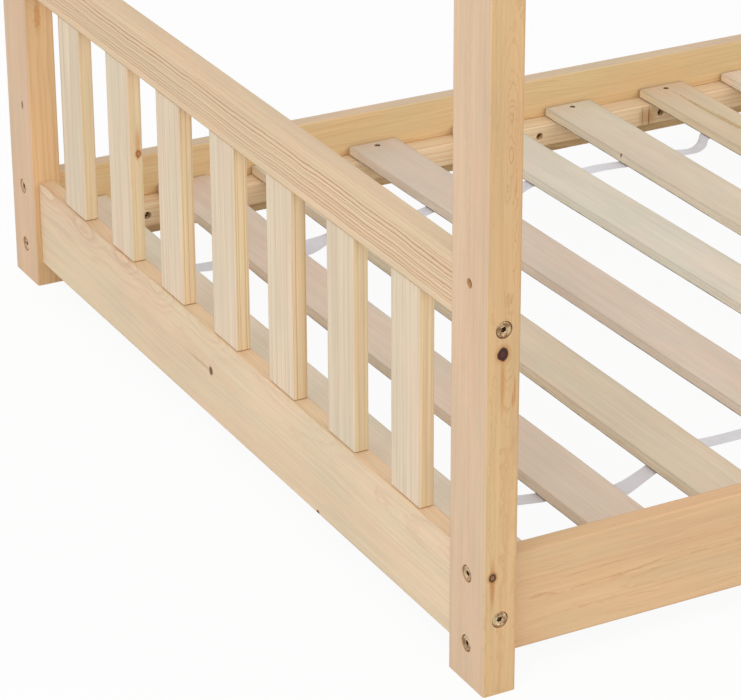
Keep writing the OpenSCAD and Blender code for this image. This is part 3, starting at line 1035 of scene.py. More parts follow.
@dataclass
class Fixing:
    """A connector bolt, from the post's face into the beam, with its barrel nut.

    Attributes:
        start: The middle of the recess, on the post's outer face.
        inward: The way that the bolt points.
        nut_way: The way that the nut's hole opens.
        grip: The thickness that the bolt passes through before the beam.
        beam: The beam's thickness along the nut.
        bore_radius: The radius of the bore for the bolt.
        recess_radius: The radius of the recess for its head.
        recess_depth: How deep the recess is.
        nut_in: How far the nut lies in the beam.
        nut_radius: The radius of the nut's hole.
        nut_length: The nut's length.
        past_nut: How far the bore goes on past the nut.
    """

    start: Vector
    inward: Vector
    nut_way: Vector
    grip: float
    beam: float

    bore_radius = 0.0033
    recess_radius = 0.0074
    recess_depth = 0.0028
    nut_in = 0.032
    nut_radius = 0.0051
    nut_length = 0.013
    past_nut = 0.009

    def place(self) -> Matrix:
        """Gives the bolt's own axes, from the middle of its recess."""
        return own_axes(self.inward, self.nut_way, self.start)

    def add_bore(self, cutters: Mesh) -> None:
        """Adds the recess and the bore to a set of cutters.

        Args:
            cutters: The cutters.
        """
        end = self.grip + self.nut_in + self.past_nut
        recess = mouth(self.recess_radius, self.recess_depth)
        bore = [(self.recess_depth, self.bore_radius), (end, self.bore_radius), (end, 0.0)]
        turn_profile(cutters, recess + bore, self.place())

    def add_nut_hole(self, cutters: Mesh) -> None:
        """Adds the nut's cross hole to a set of cutters.

        Args:
            cutters: The cutters.
        """
        middle = self.start + self.inward * (self.grip + self.nut_in)
        low, high = -self.nut_length / 2, self.beam / 2 + OVERCUT
        turn_profile(
            cutters, [(low, 0.0), (low, self.nut_radius), (high, self.nut_radius), (high, 0.0)],
            own_axes(self.nut_way, self.inward, middle), 32,
        )

    def reaches(self, low: Vector, high: Vector) -> bool:
        """Says whether the bolt passes through a box.

        Args:
            low: The box's lowest corner.
            high: Its highest corner.

        Returns:
            Whether it does.
        """
        end = self.start + self.inward * (self.grip + self.nut_in)
        spots = (self.start + self.inward * self.grip * 0.5, end)
        return any(all(low[k] - 1e-4 <= s[k] <= high[k] + 1e-4 for k in range(3)) for s in spots)


@dataclass
class Hole:
    """A round hole or pocket.

    Attributes:
        start: The middle of its mouth.
        inward: The way that it goes in.
        radius: Its radius.
        depth: Its depth.
    """

    start: Vector
    inward: Vector
    radius: float
    depth: float

    def add(self, cutters: Mesh) -> None:
        """Adds the hole, with a broken edge at its mouth, to a set of cutters."""
        profile = mouth(self.radius, self.depth) + [(self.depth, 0.0)]
        turn_profile(cutters, profile, self.place(), 32)

    def place(self, sunk: float = 0.0) -> Matrix:
        """Gives the hole's own axes, from a point that is sunk below its mouth."""
        side = self.inward.orthogonal().normalized()
        return own_axes(self.inward, side, self.start + self.inward * sunk)

    def reaches(self, low: Vector, high: Vector) -> bool:
        """Says whether the hole starts on a box between two corners."""
        spot = self.start + self.inward * min(self.depth / 2, 0.002)
        return all(low[k] <= spot[k] <= high[k] for k in range(3))


@dataclass
class Board:
    """One planed board with rounded edges.

    Attributes:
        node: The CAD node that it stands for, which gives it its name.
        slot: The record's material slot.
        finish: Its finish.
        edge: The radius of its long edges.
        low: Its lowest corner. It comes from the CAD node if left out.
        high: Its highest corner. It comes from the CAD node if left out.
        end_edge: The radius of the edges round its ends.
    """

    node: str
    slot: str
    finish: PineFinish
    edge: float = 0.0025
    low: Vector | None = None
    high: Vector | None = None

    end_edge = 0.0007

    def __post_init__(self) -> None:
        """Takes the corners from the CAD node where none are given."""
        low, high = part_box(self.node)
        self.low = self.low or low
        self.high = self.high or high

    def axes(self) -> tuple[Matrix, Vector]:
        """Finds the board's own axes.

        Returns:
            The axes, and its length, width and thickness along them.
        """
        size = self.high - self.low
        order = sorted(range(3), key=lambda k: -size[k])
        ways = [list(Axis)[k].vector() for k in order]
        middle = (self.low + self.high) / 2
        return own_axes(ways[0], ways[1], middle), Vector([size[k] for k in order])

    def blank(self, size: Vector) -> Mesh:
        """Makes the board in its own axes, with its edges rounded.

        Args:
            size: Length, width and thickness.

        Returns:
            The mesh.
        """
        mesh = bmesh.new()
        bmesh.ops.create_cube(mesh, size=1.0)
        bmesh.ops.scale(mesh, vec=size, verts=mesh.verts)
        around = {"profile": 0.5, "affect": "EDGES"}
        sides = [e for e in mesh.edges if abs(e.verts[0].co.x - e.verts[1].co.x) > size.x / 2]
        bmesh.ops.bevel(mesh, geom=sides, offset=self.edge, segments=5, **around)
        tips = [e for e in mesh.edges if all(abs(abs(v.co.x) - size.x / 2) < 1e-6 for v in e.verts)]
        bmesh.ops.bevel(mesh, geom=tips, offset=self.end_edge, segments=2, **around)
        return mesh

    def build(self, fixings: Sequence[Fixing] = (), holes: Sequence[Hole] = ()) -> None:
        """Makes the board, drills it and hands it over.

        Args:
            fixings: The bed's connector bolts.
            holes: The bed's other holes.
        """
        place, size = self.axes()
        mesh = self.blank(size)
        self.shape(mesh, place, size)
        bmesh.ops.transform(mesh, matrix=place, verts=mesh.verts)
        name = self.node + "_wood"
        piece = make_piece(name, mesh, self.finish.material("pine_" + name, place))
        bores, crossings = bmesh.new(), bmesh.new()
        for fixing in fixings:
            if fixing.reaches(self.low, self.high):
                fixing.add_bore(bores)
                if self.holds_nuts():
                    fixing.add_nut_hole(crossings)
        for hole in holes:
            if hole.reaches(self.low, self.high):
                hole.add(bores)
        for cutters in (bores, crossings):
            if len(cutters.verts):
                drill(piece, cutters)
            else:
                cutters.free()
        smooth(piece)
        hand_over(piece, self.slot, self.node)

    def holds_nuts(self) -> bool:
        """Says whether this board is a beam that takes barrel nuts."""
        return not self.node.startswith("post")

    def shape(self, mesh: Mesh, place: Matrix, size: Vector) -> None:
        """Changes the blank before it is placed. A plain board needs nothing."""


@dataclass
class Rafter(Board):
    """A sloping board with plumb cuts at the post and at the ridge.

    Attributes:
        rise_from: The height of the post's top, where its upper edge starts.
        depth: Its depth, square to the slope.
    """

    rise_from: float = 1.058
    depth: float = 0.058

    def axes(self) -> tuple[Matrix, Vector]:
        """Finds the rafter's own axes, along its slope.

        Returns:
            The axes, and the length, width and thickness of the blank.
        """
        run, rise = self.high.y - self.low.y, self.high.z - self.rise_from
        uphill = 1.0 if self.high.y < -self.low.y else -1.0
        along = Vector((0.0, uphill * run, rise)).normalized()
        plumb = self.depth * math.hypot(run, rise) / run
        middle = (self.low + self.high) / 2
        middle.z = (self.rise_from + self.high.z - plumb) / 2
        size = Vector((math.hypot(run, rise) + 2 * self.depth, self.depth, self.high.x - self.low.x))
        return own_axes(along, Axis.X.vector().cross(along), middle), size

    def shape(self, mesh: Mesh, place: Matrix, size: Vector) -> None:
        """Makes the two plumb cuts.

        Args:
            mesh: The blank, in the rafter's own axes.
            place: The axes.
            size: The blank's size.
        """
        back = place.inverted()
        for plane, outward in ((self.low.y, -1.0), (self.high.y, 1.0)):
            cut = bmesh.ops.bisect_plane(
                mesh, geom=mesh.verts[:] + mesh.edges[:] + mesh.faces[:],
                plane_co=back @ Vector((0.0, plane, place.translation.z)),
                plane_no=back.to_3x3() @ Vector((0.0, outward, 0.0)), clear_outer=True,
            )
            rim = [e for e in cut["geom_cut"] if isinstance(e, bmesh.types.BMEdge)]
            bmesh.ops.contextual_create(mesh, geom=rim)


@dataclass
class Slat(Board):
    """A sawn board that lies a little askew, as its CAD node does.

    Attributes:
        saw: How far the saw strayed along its edges.
        crook: How far it bends sideways near its back end.
        bend: Where that bend starts and stops, from the slat's middle.
        tip: How far from its end a corner of the CAD node may lie.
        stretches: How many stretches it is divided into.
        waves: The pace, seed and strength of the saw's strays.
        inward: How far the edges lie in on the whole, in strays.
        apart: How unlike the two edges are.
    """

    saw: float = 0.0004
    crook: float = 0.0

    tip = 0.004
    stretches = 30
    bend = (0.19, 0.36)
    waves = ((9.0, 0.0, 1.0), (31.0, 7.0, 0.6))
    inward = 0.6
    apart = 5.0

    def axes(self) -> tuple[Matrix, Vector]:
        """Finds the slat's own axes from the ends of its CAD node.

        Returns:
            The axes, and its length, width and thickness along them.
        """
        spots = [v.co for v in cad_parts[self.node].data.vertices]
        ends = []
        for way in (-1.0, 1.0):
            reach = max(way * s.y for s in spots)
            tip = [s for s in spots if way * s.y > reach - self.tip]
            low, high = min(tip, key=lambda s: s.x), max(tip, key=lambda s: s.x)
            ends.append((low + high) / 2)
        level = (self.low.z + self.high.z) / 2
        front, back = (Vector((end.x, end.y, level)) for end in ends)
        along = (back - front).normalized()
        width = (high - low).length
        size = Vector(((back - front).length, width, self.high.z - self.low.z))
        return own_axes(along, Vector((along.y, -along.x, 0.0)), (front + back) / 2), size

    def span_at(self, y: float) -> tuple[float, float]:
        """Finds the slat's two edges at one place across the bed.

        Args:
            y: The place across the bed.

        Returns:
            The edges' places along the bed.
        """
        place, size = self.axes()
        along = place.col[0]
        middle = place.translation.x + (y - place.translation.y) * along.x / along.y
        return middle - size.y / 2, middle + size.y / 2

    def shape(self, mesh: Mesh, place: Matrix, size: Vector) -> None:
        """Lets the edges stray, as on sawn wood, and bends the slat.

        Args:
            mesh: The blank, in the slat's own axes.
            place: The axes.
            size: The blank's size.
        """
        for k in range(1, self.stretches):
            bmesh.ops.bisect_plane(
                mesh, geom=mesh.verts[:] + mesh.edges[:] + mesh.faces[:],
                plane_co=((k / self.stretches - 0.5) * size.x, 0.0, 0.0), plane_no=Axis.X.value,
            )
        seed = self.finish.seed
        for spot in (v.co for v in mesh.verts):
            side = 1.0 if spot.y > 0 else -1.0
            stray = sum(
                share * noise.noise(Vector((spot.x * pace, side * self.apart, seed + layer)))
                for pace, layer, share in self.waves
            )
            rim = min(1.0, abs(spot.y) / (size.y / 2)) ** 6
            inset = self.saw * (stray - self.inward) * rim * side
            share = (spot.x - self.bend[0]) / (self.bend[1] - self.bend[0])
            share = min(1.0, max(0.0, share))
            spot.y += inset + self.crook * share * share * (3.0 - 2.0 * share)


@dataclass
class BedSizes:
    """Sizes that several sub-assemblies share, read from the frame.

    Attributes:
        half_length: Half the bed's length.
        half_width: Half its width.
        post: A post's size along and across the bed, and its height.
        spare: The radius of the spare hole in each post, and its height.
        rail_in: How far a long rail's bolts lie in from its edges.
        guard_in: How far a guard rail's bolt lies above its lower edge.
        rafter_drop: How far a rafter's bolt lies below the post's top.
        ridge_side: How far the ridge beam's bolts lie from its middle.
    """

    half_length: float
    half_width: float
    post: Vector
    spare: tuple[float, float] = (0.004, 0.354)
    rail_in: float = 0.0125
    guard_in: float = 0.011
    rafter_drop: float = 0.026
    ridge_side: float = 0.016

    @classmethod
    def read(cls) -> BedSizes:
        """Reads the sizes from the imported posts."""
        low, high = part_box("post_foot_back")
        return cls(high.x, high.y, high - low)

    def fixings(self) -> list[Fixing]:
        """Lists every connector bolt of the bed.

        Returns:
            The bolts, at the heights where the beams take them.
        """
        rail_low, rail_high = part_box("long_rail_front")
        end_low, end_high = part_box("end_rail_head")
        guard_low, guard_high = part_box("guard_rail_head")
        eave_low, eave_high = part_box("eave_beam_front")
        ridge_low, ridge_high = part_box("ridge_beam")
        rail_t = rail_high.y - rail_low.y
        along = (
            (rail_low.z + self.rail_in, rail_t),
            (rail_high.z - self.rail_in, rail_t),
            ((eave_low.z + eave_high.z) / 2, eave_high.y - eave_low.y),
        )
        across = (
            ((end_low.z + end_high.z) / 2, end_high.x - end_low.x),
            (guard_low.z + self.guard_in, guard_high.x - guard_low.x),
            (self.post.z - self.rafter_drop, self.post.x),
        )
        found = []
        for sx in (-1.0, 1.0):
            in_x = Vector((-sx, 0.0, 0.0))
            for sy in (-1.0, 1.0):
                in_y = Vector((0.0, -sy, 0.0))
                for height, beam in along:
                    start = self._on_end(sx, sy, height)
                    found.append(Fixing(start, in_x, in_y, self.post.x, beam))
                side_x, side_y = sx * (self.half_length - self.post.x / 2), sy * self.half_width
                for height, beam in across:
                    start = Vector((side_x, side_y, height))
                    found.append(Fixing(start, in_y, in_x, self.post.y, beam))
            for side in (-self.ridge_side, self.ridge_side):
                start = Vector((sx * self.half_length, side, (ridge_low.z + ridge_high.z) / 2))
                down = Vector((0.0, 0.0, -1.0))
                found.append(Fixing(start, in_x, down, self.post.x, ridge_high.z - ridge_low.z))
        return found

    def _on_end(self, sx: float, sy: float, height: float) -> Vector:
        """Gives the middle of a post's outer end face, at a height."""
        return Vector((sx * self.half_length, sy * (self.half_width - self.post.y / 2), height))

    def spare_holes(self) -> list[Hole]:
        """Lists the empty drilled holes for an added guard rail."""
        radius, height = self.spare
        return [
            Hole(self._on_end(sx, sy, height), Vector((-sx, 0.0, 0.0)), radius, self.post.x + OVERCUT)
            for sx in (-1.0, 1.0)
            for sy in (-1.0, 1.0)
        ]


@dataclass
class Posts:
    """The four corner posts.

    Attributes:
        sizes: The shared sizes.
        finish: Their finish.
        half: Half their width across the bed.
    """

    sizes: BedSizes
    # The edge tint paints the posts' front and back faces darker and warmer: partly their own edge grain
    # colour, partly painted shade and warm light.
    finish: PineFinish = PineFinish(
        early=srgb(229, 198, 168), late=srgb(182, 130, 84), edge=(0.89, 0.82, 0.62),
        blush=(0.985, 0.93, 0.90), ring=0.0026, line=0.26, heart=(0.070, -0.004), wander=0.004,
        ripple=0.0016, contrast=0.13, edge_contrast=0.38, mottle=0.08,
    )
    half: float = 0.029

    def build(self, fixings: list[Fixing]) -> None:
        """Makes the posts.

        Args:
            fixings: The bed's connector bolts.
        """
        middle, face = self.sizes.post.z / 2, -self.half
        looks = {
            "post_head_front": replace(
                self.finish,
                seed=1.0,
                early=srgb(226, 196, 165),
                line=0.23,
                heart=(0.004, -0.009),
                jag=0.0026,
                edge_contrast=0.25,
                knots=self._front_knots(middle),
                figures=(
                    Figure((0.405 - middle, face, -0.0045), (0.145, 0.020, 0.011), 0.0170, 0.30, crest=2.0),
                    Figure((0.4975 - middle, face, -0.0040), (0.011, 0.020, 0.0045), 0.0048, 0.50),
                    Figure((0.466 - middle, face, -0.0040), (0.015, 0.020, 0.0050), 0.0060, 0.55),
                    Figure((0.438 - middle, face, -0.0005), (0.009, 0.020, 0.0035), 0.0036, 0.50),
                ),
            ),
            "post_head_back": replace(
                self.finish,
                seed=2.4,
                early=srgb(227, 195, 163),
                edge=(1.0, 0.93, 0.74),
                heart=(0.05, -0.03),
                knots=(
                    Knot(
                        0.192 - middle, -0.0100, 0.015, 0.0022, core=srgb(122, 94, 78),
                        eye=srgb(150, 118, 98), halo=srgb(206, 170, 140), streak=2.2, slender=0.8,
                        stretch=1.8,
                    ),
                    Knot(
                        0.290 - middle, 0.002, face, 0.0026, Face.NARROW, core=srgb(204, 150, 96),
                        eye=srgb(208, 156, 104), halo=srgb(210, 160, 108), streak=8.0, stretch=5.0,
                        rough=1.9,
                    ),
                ),
            ),
            "post_foot_front": replace(self.finish, seed=3.1, knots=(Knot(0.02, 0.010, 0.015, 0.0055),)),
            "post_foot_back": replace(self.finish, seed=4.7, heart=(-0.05, 0.08)),
        }
        for node, finish in looks.items():
            Board(node, "post_pine", finish).build(fixings, self.sizes.spare_holes())

    def _front_knots(self, middle: float) -> tuple[Knot, ...]:
        """Lists the knots in the front face of the front head post.

        Args:
            middle: The height of the post's middle.

        Returns:
            The knots.
        """
        main = Knot(
            0.303 - middle, 0.0011, -self.half, 0.0051, Face.NARROW, core=srgb(46, 16, 8),
            eye=srgb(84, 40, 26), halo=srgb(194, 134, 76), streak=5.4, lean=-0.9, slender=0.42,
        )
        trail = Knot(
            0.270 - middle, -0.0098, -self.half, 0.0007, Face.NARROW, core=srgb(186, 134, 86),
            eye=srgb(198, 146, 94), halo=srgb(206, 156, 102), streak=20.0, stretch=15.0,
            push=0.0, rough=3.0,
        )
        speck = replace(trail, along=0.262 - middle, across=-0.0080, radius=0.0006, stretch=9.0)
        ring = Knot(
            0.1087 - middle, 0.0078, -self.half, 0.0035, Face.NARROW, core=srgb(28, 10, 4),
            eye=srgb(160, 110, 68), halo=srgb(180, 114, 58), streak=6.5, lean=-0.28, slender=0.7,
            push=0.4,
        )
        return main, trail, speck, ring


@dataclass
class BedEnd:
    """One end of the bed: a lower rail, a guard rail and the balusters between.

    Attributes:
        end: The end's name in the nodes.
        seed: Sets its wood apart from the other end's.
        joint: The fine gap that shows at a baluster's shoulder.
        baluster_edge: The radius of a baluster's edges.
        bold_edges: How strong the rings are on each baluster's narrow faces.
        knotty: The baluster that has a knot in its narrow face.
        speckled: The baluster that has a small mark on its edge.
        guard: The guard rail's finish.
        lower: The lower rail's finish.
        baluster: The balusters' finish.
    """

    end: str
    seed: float
    joint: float = 0.0006
    baluster_edge: float = 0.002
    bold_edges: tuple[float, ...] = (0.45, 0.45, 0.95, 0.85, 0.9, 0.4, 0.25)
    knotty: int = 6
    speckled: int = 4

    guard: PineFinish = PineFinish(
        early=srgb(234, 208, 173), late=srgb(178, 124, 86), edge=(0.86, 0.85, 0.865), ring=0.0034,
        line=0.24, heart=(0.110, 0.012), wander=0.005, pace=7.0, ripple=0.0018, jag=0.0008, contrast=1.3,
        edge_contrast=0.12, band=(-0.019, 0.016), outside=0.2,
    )
    lower: PineFinish = PineFinish(
        early=srgb(236, 213, 181), late=srgb(204, 146, 114), edge=(0.89, 0.83, 0.755),
        blush=(0.99, 0.95, 0.92), ring=0.0036, line=0.28, heart=(0.026, 0.060), wander=0.010, pace=4.0,
        tilt=0.02, ripple=0.0024, jag=0.0016, contrast=0.20, edge_contrast=0.40, band=(0.000, 0.060),
        outside=0.40, mottle=0.08, nap=0.42,
        figures=tuple(
            Figure((along, across, -0.009), (reach, 0.020, 0.03), lift, gain, 1.4 * gain)
            for along, across, reach, lift, gain in (
                (0.410, 0.040, 0.055, 0.016, 0.22),
                (0.315, 0.036, 0.045, 0.019, 0.24),
                (0.225, 0.040, 0.040, 0.018, 0.26),
                (0.145, 0.042, 0.035, 0.014, 0.16),
                (0.040, 0.044, 0.050, 0.012, 0.10),
                (-0.140, 0.046, 0.060, 0.010, 0.06),
            )
        ),
    )
    baluster: PineFinish = PineFinish(
        early=srgb(235, 217, 191), late=srgb(188, 146, 100), edge=(0.95, 0.89, 0.745),
        blush=(0.955, 0.935, 0.93), ring=0.0034, line=0.26, heart=(0.030, 0.110), wander=0.003,
        ripple=0.0006, jag=0.0002, contrast=0.32, edge_contrast=0.60, streaks=1.0, nap=0.44,
    )

    def build(self, fixings: list[Fixing]) -> None:
        """Makes the end's boards.

        Args:
            fixings: The bed's connector bolts.
        """
        name = f"end_rail_{self.end}"
        knots = (
            Knot(
                0.0286, 0.0038, -0.009, 0.0040, core=srgb(80, 58, 42), eye=srgb(132, 96, 70),
                halo=srgb(206, 166, 128), streak=7.0, lean=0.8, slender=0.45, stretch=0.85,
            ),
            Knot(-0.187, -0.0425, -0.009, 0.0021, core=srgb(96, 74, 52), streak=1.0, push=0.0),
        )
        Board(name, "post_pine", replace(self.lower, seed=self.seed, knots=knots)).build(fixings)
        rail_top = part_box(name)[1].z
        name = f"guard_rail_{self.end}"
        Board(name, "guard_pine", replace(self.guard, seed=self.seed + 1.3)).build(fixings)
        guard_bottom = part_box(name)[0].z
        for count in range(1, 8):
            node = f"baluster_{self.end}_{count}"
            low, high = self._shown(node, rail_top, guard_bottom)
            finish = self._baluster_finish(count)
            Board(node, "baluster_pine", finish, self.baluster_edge, low, high).build()

    def _shown(self, node: str, rail_top: float, guard_bottom: float) -> tuple[Vector, Vector]:
        """Finds the part of a baluster between its shoulders.

        Args:
            node: The baluster.
            rail_top: The height of the lower rail's top.
            guard_bottom: The height of the guard rail's underside.

        Returns:
            That part's lowest and highest corners.
        """
        low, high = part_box(node)
        low.z, high.z = rail_top + self.joint, guard_bottom - self.joint
        return low, high

    def _baluster_finish(self, count: int) -> PineFinish:
        """Picks the wood of one baluster.

        Args:
            count: The baluster's number, from the front.

        Returns:
            Its finish.
        """
        draw = random.Random(100 * self.seed + count)
        tone = draw.uniform(-0.02, 0.02)
        early = tuple(c * (1.0 + tone) for c in self.baluster.early)
        heart = (draw.choice((-1, 1)) * draw.uniform(0.02, 0.06), draw.uniform(0.06, 0.12))
        return replace(
            self.baluster, seed=self.seed + 3.7 * count, early=early, heart=heart,
            ring=draw.uniform(0.0028, 0.0046), edge_contrast=self.bold_edges[count - 1],
            knots=self._baluster_knots(count),
        )

    def _baluster_knots(self, count: int) -> tuple[Knot, ...]:
        """Lists the knots of one baluster.

        Args:
            count: The baluster's number, from the front.

        Returns:
            Its knots.
        """
        if count == self.knotty:
            return (
                Knot(
                    0.0105, -0.0020, -0.025, 0.0028, Face.NARROW, core=srgb(150, 94, 54),
                    eye=srgb(190, 134, 84), halo=srgb(208, 150, 96), streak=5.5, lean=0.75, slender=1.1,
                    stretch=1.5, rough=1.7,
                ),
            )
        if count == self.speckled:
            return (Knot(-0.062, 0.024, -0.007, 0.0026, core=srgb(156, 112, 76), streak=2.0, stretch=1.3),)
        return ()


@dataclass
class LongSides:
    """The long rails and the cleats that carry the slats.

    Attributes:
        screw_pitch: The spacing of the cleat screws.
        screw_in: The distance from a cleat's head end to its first screw.
        screw_end: The least distance from its foot end to its last screw.
        pocket: The radius and depth of the pockets that sink the screws.
        cleat_edge: The radius of a cleat's edges.
        front: The front rail's finish.
        back: The back rail's finish.
        cleat: The cleats' finish.
        rail_knot: The knot in the back rail.
        stripes: The two thin dark stripes across the grain on the back cleat.
    """

    screw_pitch: float = 0.1565
    screw_in: float = 0.088
    screw_end: float = 0.018
    pocket: tuple[float, float] = (0.004, 0.006)
    cleat_edge: float = 0.0013

    front: PineFinish = PineFinish(
        early=srgb(218, 183, 141), late=srgb(182, 130, 84), edge=(0.99, 0.97, 0.96),
        blush=(1.0, 0.94, 0.91), ring=0.0026, line=0.3, heart=(-0.012, 0.045), wander=0.014, pace=3.0,
        ripple=0.0016, jag=0.0013, torn=0.75, contrast=0.32, edge_contrast=0.3, band=(-0.004, 0.028),
        outside=0.45,
    )
    back: PineFinish = PineFinish(
        early=srgb(231, 201, 153), late=srgb(188, 118, 64), edge=(0.85, 0.88, 1.10), ring=0.0036,
        jag=0.0012, torn=0.5, heart=(-0.050, 0.030), wander=0.012, pace=5.0, contrast=0.62,
        edge_contrast=0.2, band=(-0.060, 0.004), outside=0.3,
    )
    # The edge tint above 1 paints light onto the cleats' narrow faces, which lie in shade under the slats.
    cleat: PineFinish = PineFinish(
        early=srgb(236, 214, 181), late=srgb(196, 134, 82), edge=(1.17, 1.12, 1.05),
        ring=0.0046, contrast=0.5,
    )
    rail_knot = Knot(0.35, -0.012, 0.009, 0.006, core=srgb(150, 90, 52))
    # Two thin dark stripes across the grain of the back cleat, drawn as knots.
    stripes = (
        Knot(
            -0.3005, -0.002, -0.0125, 0.009, Face.NARROW, core=srgb(160, 106, 60), eye=srgb(172, 120, 72),
            halo=srgb(206, 160, 110), streak=1.1, slender=1.3, stretch=0.09, push=0.0, rough=0.35,
        ),
        Knot(
            -0.3090, -0.001, -0.0125, 0.010, Face.NARROW, core=srgb(188, 140, 92), eye=srgb(192, 146, 98),
            halo=srgb(214, 172, 126), streak=0.5, slender=1.1, stretch=0.06, push=0.0, rough=0.35,
        ),
    )

    def build(self, fixings: list[Fixing]) -> list[Hole]:
        """Makes the rails and cleats.

        Args:
            fixings: The bed's connector bolts.

        Returns:
            The cleats' pockets, for the screws.
        """
        pockets = []
        for side, finish, inward, knots, stripes in (
            ("front", self.front, -1.0, (), ()),
            ("back", self.back, 1.0, (self.rail_knot,), self.stripes),
        ):
            rail, cleat = f"long_rail_{side}", f"cleat_{side}"
            Board(rail, "rail_pine", replace(finish, seed=5.0 + inward, knots=knots)).build(fixings)
            low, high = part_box(cleat)
            face = low.y if inward > 0 else high.y
            count = 1 + int((high.x - low.x - self.screw_in - self.screw_end) / self.screw_pitch)
            own = [
                Hole(
                    Vector((low.x + self.screw_in + k * self.screw_pitch, face, (low.z + high.z) / 2)),
                    Vector((0.0, inward, 0.0)), *self.pocket,
                )
                for k in range(count)
            ]
            wood = replace(self.cleat, seed=8.0 + inward, knots=stripes)
            Board(cleat, "post_pine", wood, self.cleat_edge).build((), own)
            pockets += own
        return pockets


@dataclass
class SlattedBase:
    """The slats and their screws.

    Attributes:
        count: How many slats there are.
        screw_in: The distance from a slat's end to its screw.
        sink: The radius and depth of the countersink at its mouth.
        edge: The radius of a slat's edges.
        clear_to: The last slat that was picked without knots.
        knotty: The share of the others that have a knot.
        slats: The slats, once they are built.
        bark: The bark line in a slat.
        chip: The chip at a slat's edge.
        marks: The marks of each slat that has some.
        crooks: How far a slat bends sideways, where one does.
        slat: The slats' finish.
        tints: The tints of the slats, in turn.
    """

    count: int = 18
    screw_in: float = 0.010
    sink: tuple[float, float] = (0.0032, 0.0006)
    edge: float = 0.0016
    clear_to: int = 8
    knotty: float = 0.3
    slats: list[Slat] = field(default_factory=list)

    bark = Knot(
        0.355, 0.001, -0.005, 0.0019, core=srgb(186, 156, 110), eye=srgb(204, 178, 134),
        halo=srgb(206, 184, 146), streak=36.0, stretch=30.0, push=0.0, rough=2.6,
    )
    chip = Knot(0.295, -0.0284, -0.005, 0.0011, core=srgb(120, 92, 70), streak=2.0, push=0.0, rough=0.9)
    marks = {6: (chip,), 7: (bark, replace(bark, along=0.30, across=0.004, stretch=24.0))}
    crooks = {2: 0.0066}

    # The slats' edge tint above 1 paints light onto their narrow faces, the rim below 0 paints shade on
    # their rounded edges, and soil paints shade along the lower edge of their narrow faces.
    slat: PineFinish = PineFinish(
        early=srgb(226, 212, 192), late=srgb(206, 180, 150), edge=(1.24, 1.30, 1.34),
        blush=(0.965, 0.935, 0.925), ring=0.0060, heart=(0.010, 0.070), wander=0.014, pace=2.4, torn=0.5,
        contrast=0.15, edge_contrast=0.5, streaks=0.25, mottle=0.08, nap=0.30, soil_and_shade=1.0, rim=-0.17,
        roughness=0.7, relief=0.0002,
    )
    tints: tuple[Colour, ...] = (
        (1.03, 1.04, 1.05),
        (0.97, 0.92, 0.93),
        (0.93, 0.91, 0.86),
        (0.92, 0.88, 0.90),
        (0.97, 1.01, 1.04),
        (0.95, 0.95, 0.93),
        (0.95, 0.87, 0.76),
        (1.01, 0.99, 0.98),
    )

    def build(self) -> list[Hole]:
        """Makes the slats.

        Returns:
            The countersinks in the slats, for the screws.
        """
        sinks = []
        for count in range(1, self.count + 1):
            crook = self.crooks.get(count, 0.0)
            slat = Slat(f"slat_{count}", "slat_pine", self._finish(count), self.edge, crook=crook)
            place, size = slat.axes()
            own = [
                Hole(
                    place @ Vector((way * (size.x / 2 - self.screw_in), 0.0, -size.z / 2)),
                    Vector((0.0, 0.0, -1.0)), *self.sink,
                )
                for way in (-1.0, 1.0)
            ]
            slat.build((), own)
            self.slats.append(slat)
            sinks += own
        return sinks

    def _finish(self, count: int) -> PineFinish:
        """Picks the wood of one slat.

        Args:
            count: The slat's number, from the head end.

        Returns:
            Its finish.
        """
        draw = random.Random(500 + count)
        tint = self.tints[(count - 1) % len(self.tints)]
        knots = self.marks.get(count, ())
        if count > self.clear_to and draw.random() < self.knotty:
            knots = (
                Knot(
                    draw.uniform(-0.35, 0.35), draw.uniform(-0.018, 0.018), -0.005,
                    draw.uniform(0.003, 0.005), core=srgb(150, 112, 82),
                ),
            )
        return replace(
            self.slat, seed=20.0 + 2.9 * count,
            early=tuple(c * t for c, t in zip(self.slat.early, tint)),
            late=tuple(c * t for c, t in zip(self.slat.late, tint)),
            heart=(draw.uniform(-0.02, 0.02), draw.uniform(0.04, 0.10)), ring=draw.uniform(0.004, 0.008),
            knots=knots,
        )


@dataclass
class RoofFrame:
    """The rafters, the ridge beam and the eave beams.

    Attributes:
        sizes: The shared sizes.
        finish: Their finish.
    """

    sizes: BedSizes
    finish: PineFinish = PineFinish(
        early=srgb(227, 200, 165), late=srgb(208, 166, 120), edge=(0.98, 0.91, 0.80), ring=0.0034
    )

    def build(self, fixings: list[Fixing]) -> None:
        """Makes the roof frame.

        Args:
            fixings: The bed's connector bolts.
        """
        draw = random.Random(9)
        for end in ("head", "foot"):
            for side in ("front", "back"):
                node = f"rafter_{end}_{side}"
                wood = self._varied(draw)
                Rafter(node, "roof_pine", wood, rise_from=self.sizes.post.z).build(fixings)
        for node in ("eave_beam_front", "eave_beam_back", "ridge_beam"):
            Board(node, "roof_pine", self._varied(draw)).build(fixings)

    def _varied(self, draw: random.Random) -> PineFinish:
        """Gives the roof's finish as cut from another part of the tree."""
        return replace(
            self.finish, seed=draw.uniform(40, 90),
            heart=(draw.uniform(-0.03, 0.05), draw.uniform(0.05, 0.10)),
            knots=(Knot(draw.uniform(-0.2, 0.2), draw.uniform(-0.02, 0.02), 0.015, 0.006),),
        )


@dataclass(frozen=True)
class Screw:
    """A kind of countersunk screw.

    Attributes:
        head: The head's radius.
        shank: The shank's radius.
        length: Its length.
        sunk: How far the head lies below the hole's mouth.
    """

    head: float
    shank: float
    length: float
    sunk: float


